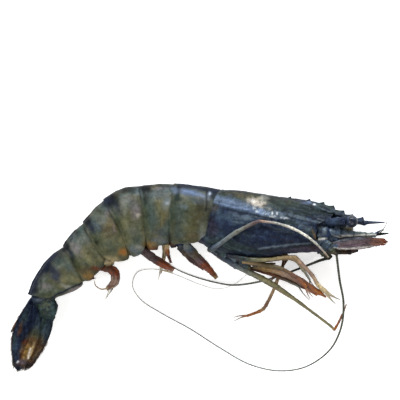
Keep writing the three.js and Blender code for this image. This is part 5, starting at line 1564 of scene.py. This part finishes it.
# Fleshy roots of the swimming legs, which show between the lower edges of the rings.
SWIM_ROOTS = [((-30.4, -7.4), (-29.8, -11.6), 2.0, ("dark", "brown", "deep")),
              ((-27.4, -7.4), (-26.0, -12.4), 2.2, ("deep", "navy", "deep")),
              ((-39.6, -6.6), (-39.2, -12.6), 3.2, ("umber", "amber", "clay")),
              ((-45.6, -8.0), (-44.6, -12.4), 2.4, ("pine", "wine", "maroon")),
              ((-59.4, -15.8), (-58.4, -19.6), 2.6, ("olive", "straw", "umber"))]
for index, (inner_end, outer_end, radius, colours) in enumerate(SWIM_ROOTS):
    for side_name, z in (("right", 12.2), ("left", 7.0)):
        halfway = lerp(np.array(inner_end), np.array(outer_end), 0.6)
        head_tube(f"swim_root_{index + 1}_{side_name}",
                  [(*inner_end, z, radius), (*halfway, z, radius), (*outer_end, z, 0.6 * radius)],
                  colours, joints=0.0, steps=40, sides=32, lumps=0.3, crevice=0.0, hairs=0, lift="umber",
                  dark_share=0.35)

# ---------------------------------------------------------------- floor, light and camera

bpy.ops.mesh.primitive_grid_add(x_subdivisions=40, y_subdivisions=40, size=3, location=(0, 0, 0))
floor = bpy.context.object
floor.name = "floor"
m, nodes, links, shader = node_tree("floor")
grain = noise_node(nodes, links, nodes.new("ShaderNodeTexCoord").outputs["Object"], 0.8, 3)
tint = mix_colour(nodes, links, grain, (0.93, 0.93, 0.93), (0.97, 0.97, 0.965))
links.new(tint, shader.inputs["Base Color"])
shader.inputs["Roughness"].default_value = 0.9
shader.inputs["Specular IOR Level"].default_value = 0.1
# The table looks lit from below, so that it stays pale beside the prawn.
shader.inputs["Emission Color"].default_value = (1, 1, 1, 1)
seen = nodes.new("ShaderNodeLightPath").outputs["Is Camera Ray"]
links.new(range_node(nodes, links, seen, 0, 1, 0.1, 0.6), shader.inputs["Emission Strength"])
floor.data.materials.append(m)


def area_light(name, place, aim, width, height, power, colour=(1, 1, 1)):
    data = bpy.data.lights.new(name, "AREA")
    data.shape = "RECTANGLE"
    data.size, data.size_y = width, height
    data.energy = power
    data.color = colour
    obj = bpy.data.objects.new(name, data)
    bpy.context.scene.collection.objects.link(obj)
    obj.location = place
    obj.rotation_mode = "QUATERNION"
    obj.rotation_quaternion = (Vector(aim) - Vector(place)).to_track_quat("-Z", "Y")
    return obj


area_light("window", (0.05, 0.70, 0.36), (0, 0, 0), 1.1, 0.2, 9.0, (0.88, 0.94, 1.0))
area_light("soft_left", (-0.85, -0.15, 0.7), (0, 0, 0), 0.8, 0.5, 5.5, (1.0, 0.98, 0.95))
area_light("soft_front", (0.25, -0.8, 0.8), (0, 0, 0), 1.0, 0.5, 5.5, (1.0, 0.98, 0.95))

world = bpy.data.worlds.new("studio")
bpy.context.scene.world = world
world.use_nodes = True
sky, sky_links = world.node_tree.nodes, world.node_tree.links
sky.clear()
out = sky.new("ShaderNodeOutputWorld")
background = sky.new("ShaderNodeBackground")
sky_links.new(background.outputs[0], out.inputs[0])
background.inputs["Strength"].default_value = 0.5
direction = sky.new("ShaderNodeTexCoord").outputs["Generated"]
split = sky.new("ShaderNodeSeparateXYZ")
sky_links.new(direction, split.inputs[0])
glow = range_node(sky, sky_links, split.outputs["Z"], 0.1, 0.95, 0.9, 0.25)
tone = sky.new("ShaderNodeCombineColor")
for channel, share in zip(("Red", "Green", "Blue"), (0.96, 0.98, 1.0)):
    sky_links.new(math_node(sky, sky_links, "MULTIPLY", glow, share), tone.inputs[channel])
sky_links.new(tone.outputs[0], background.inputs["Color"])

bpy.context.scene.view_settings.view_transform = "Standard"
bpy.context.scene.view_settings.look = "None"
bpy.context.scene.view_settings.exposure = 0
bpy.context.scene.view_settings.gamma = 1

FRAME_WIDTH = 0.18              # metres of the prawn's middle plane that the picture shows
CAMERA_HEIGHT = 1.4
CAMERA_SENSOR = 36
camera_data = bpy.data.cameras.new("camera")
camera_data.sensor_width = CAMERA_SENSOR
camera_data.lens = CAMERA_SENSOR * (CAMERA_HEIGHT - MID * MM) / FRAME_WIDTH
camera = bpy.data.objects.new("camera", camera_data)
camera.location = (-0.018, 0.0099, CAMERA_HEIGHT)
camera.rotation_euler = (0, 0, 0)
bpy.context.scene.collection.objects.link(camera)
bpy.context.scene.camera = camera
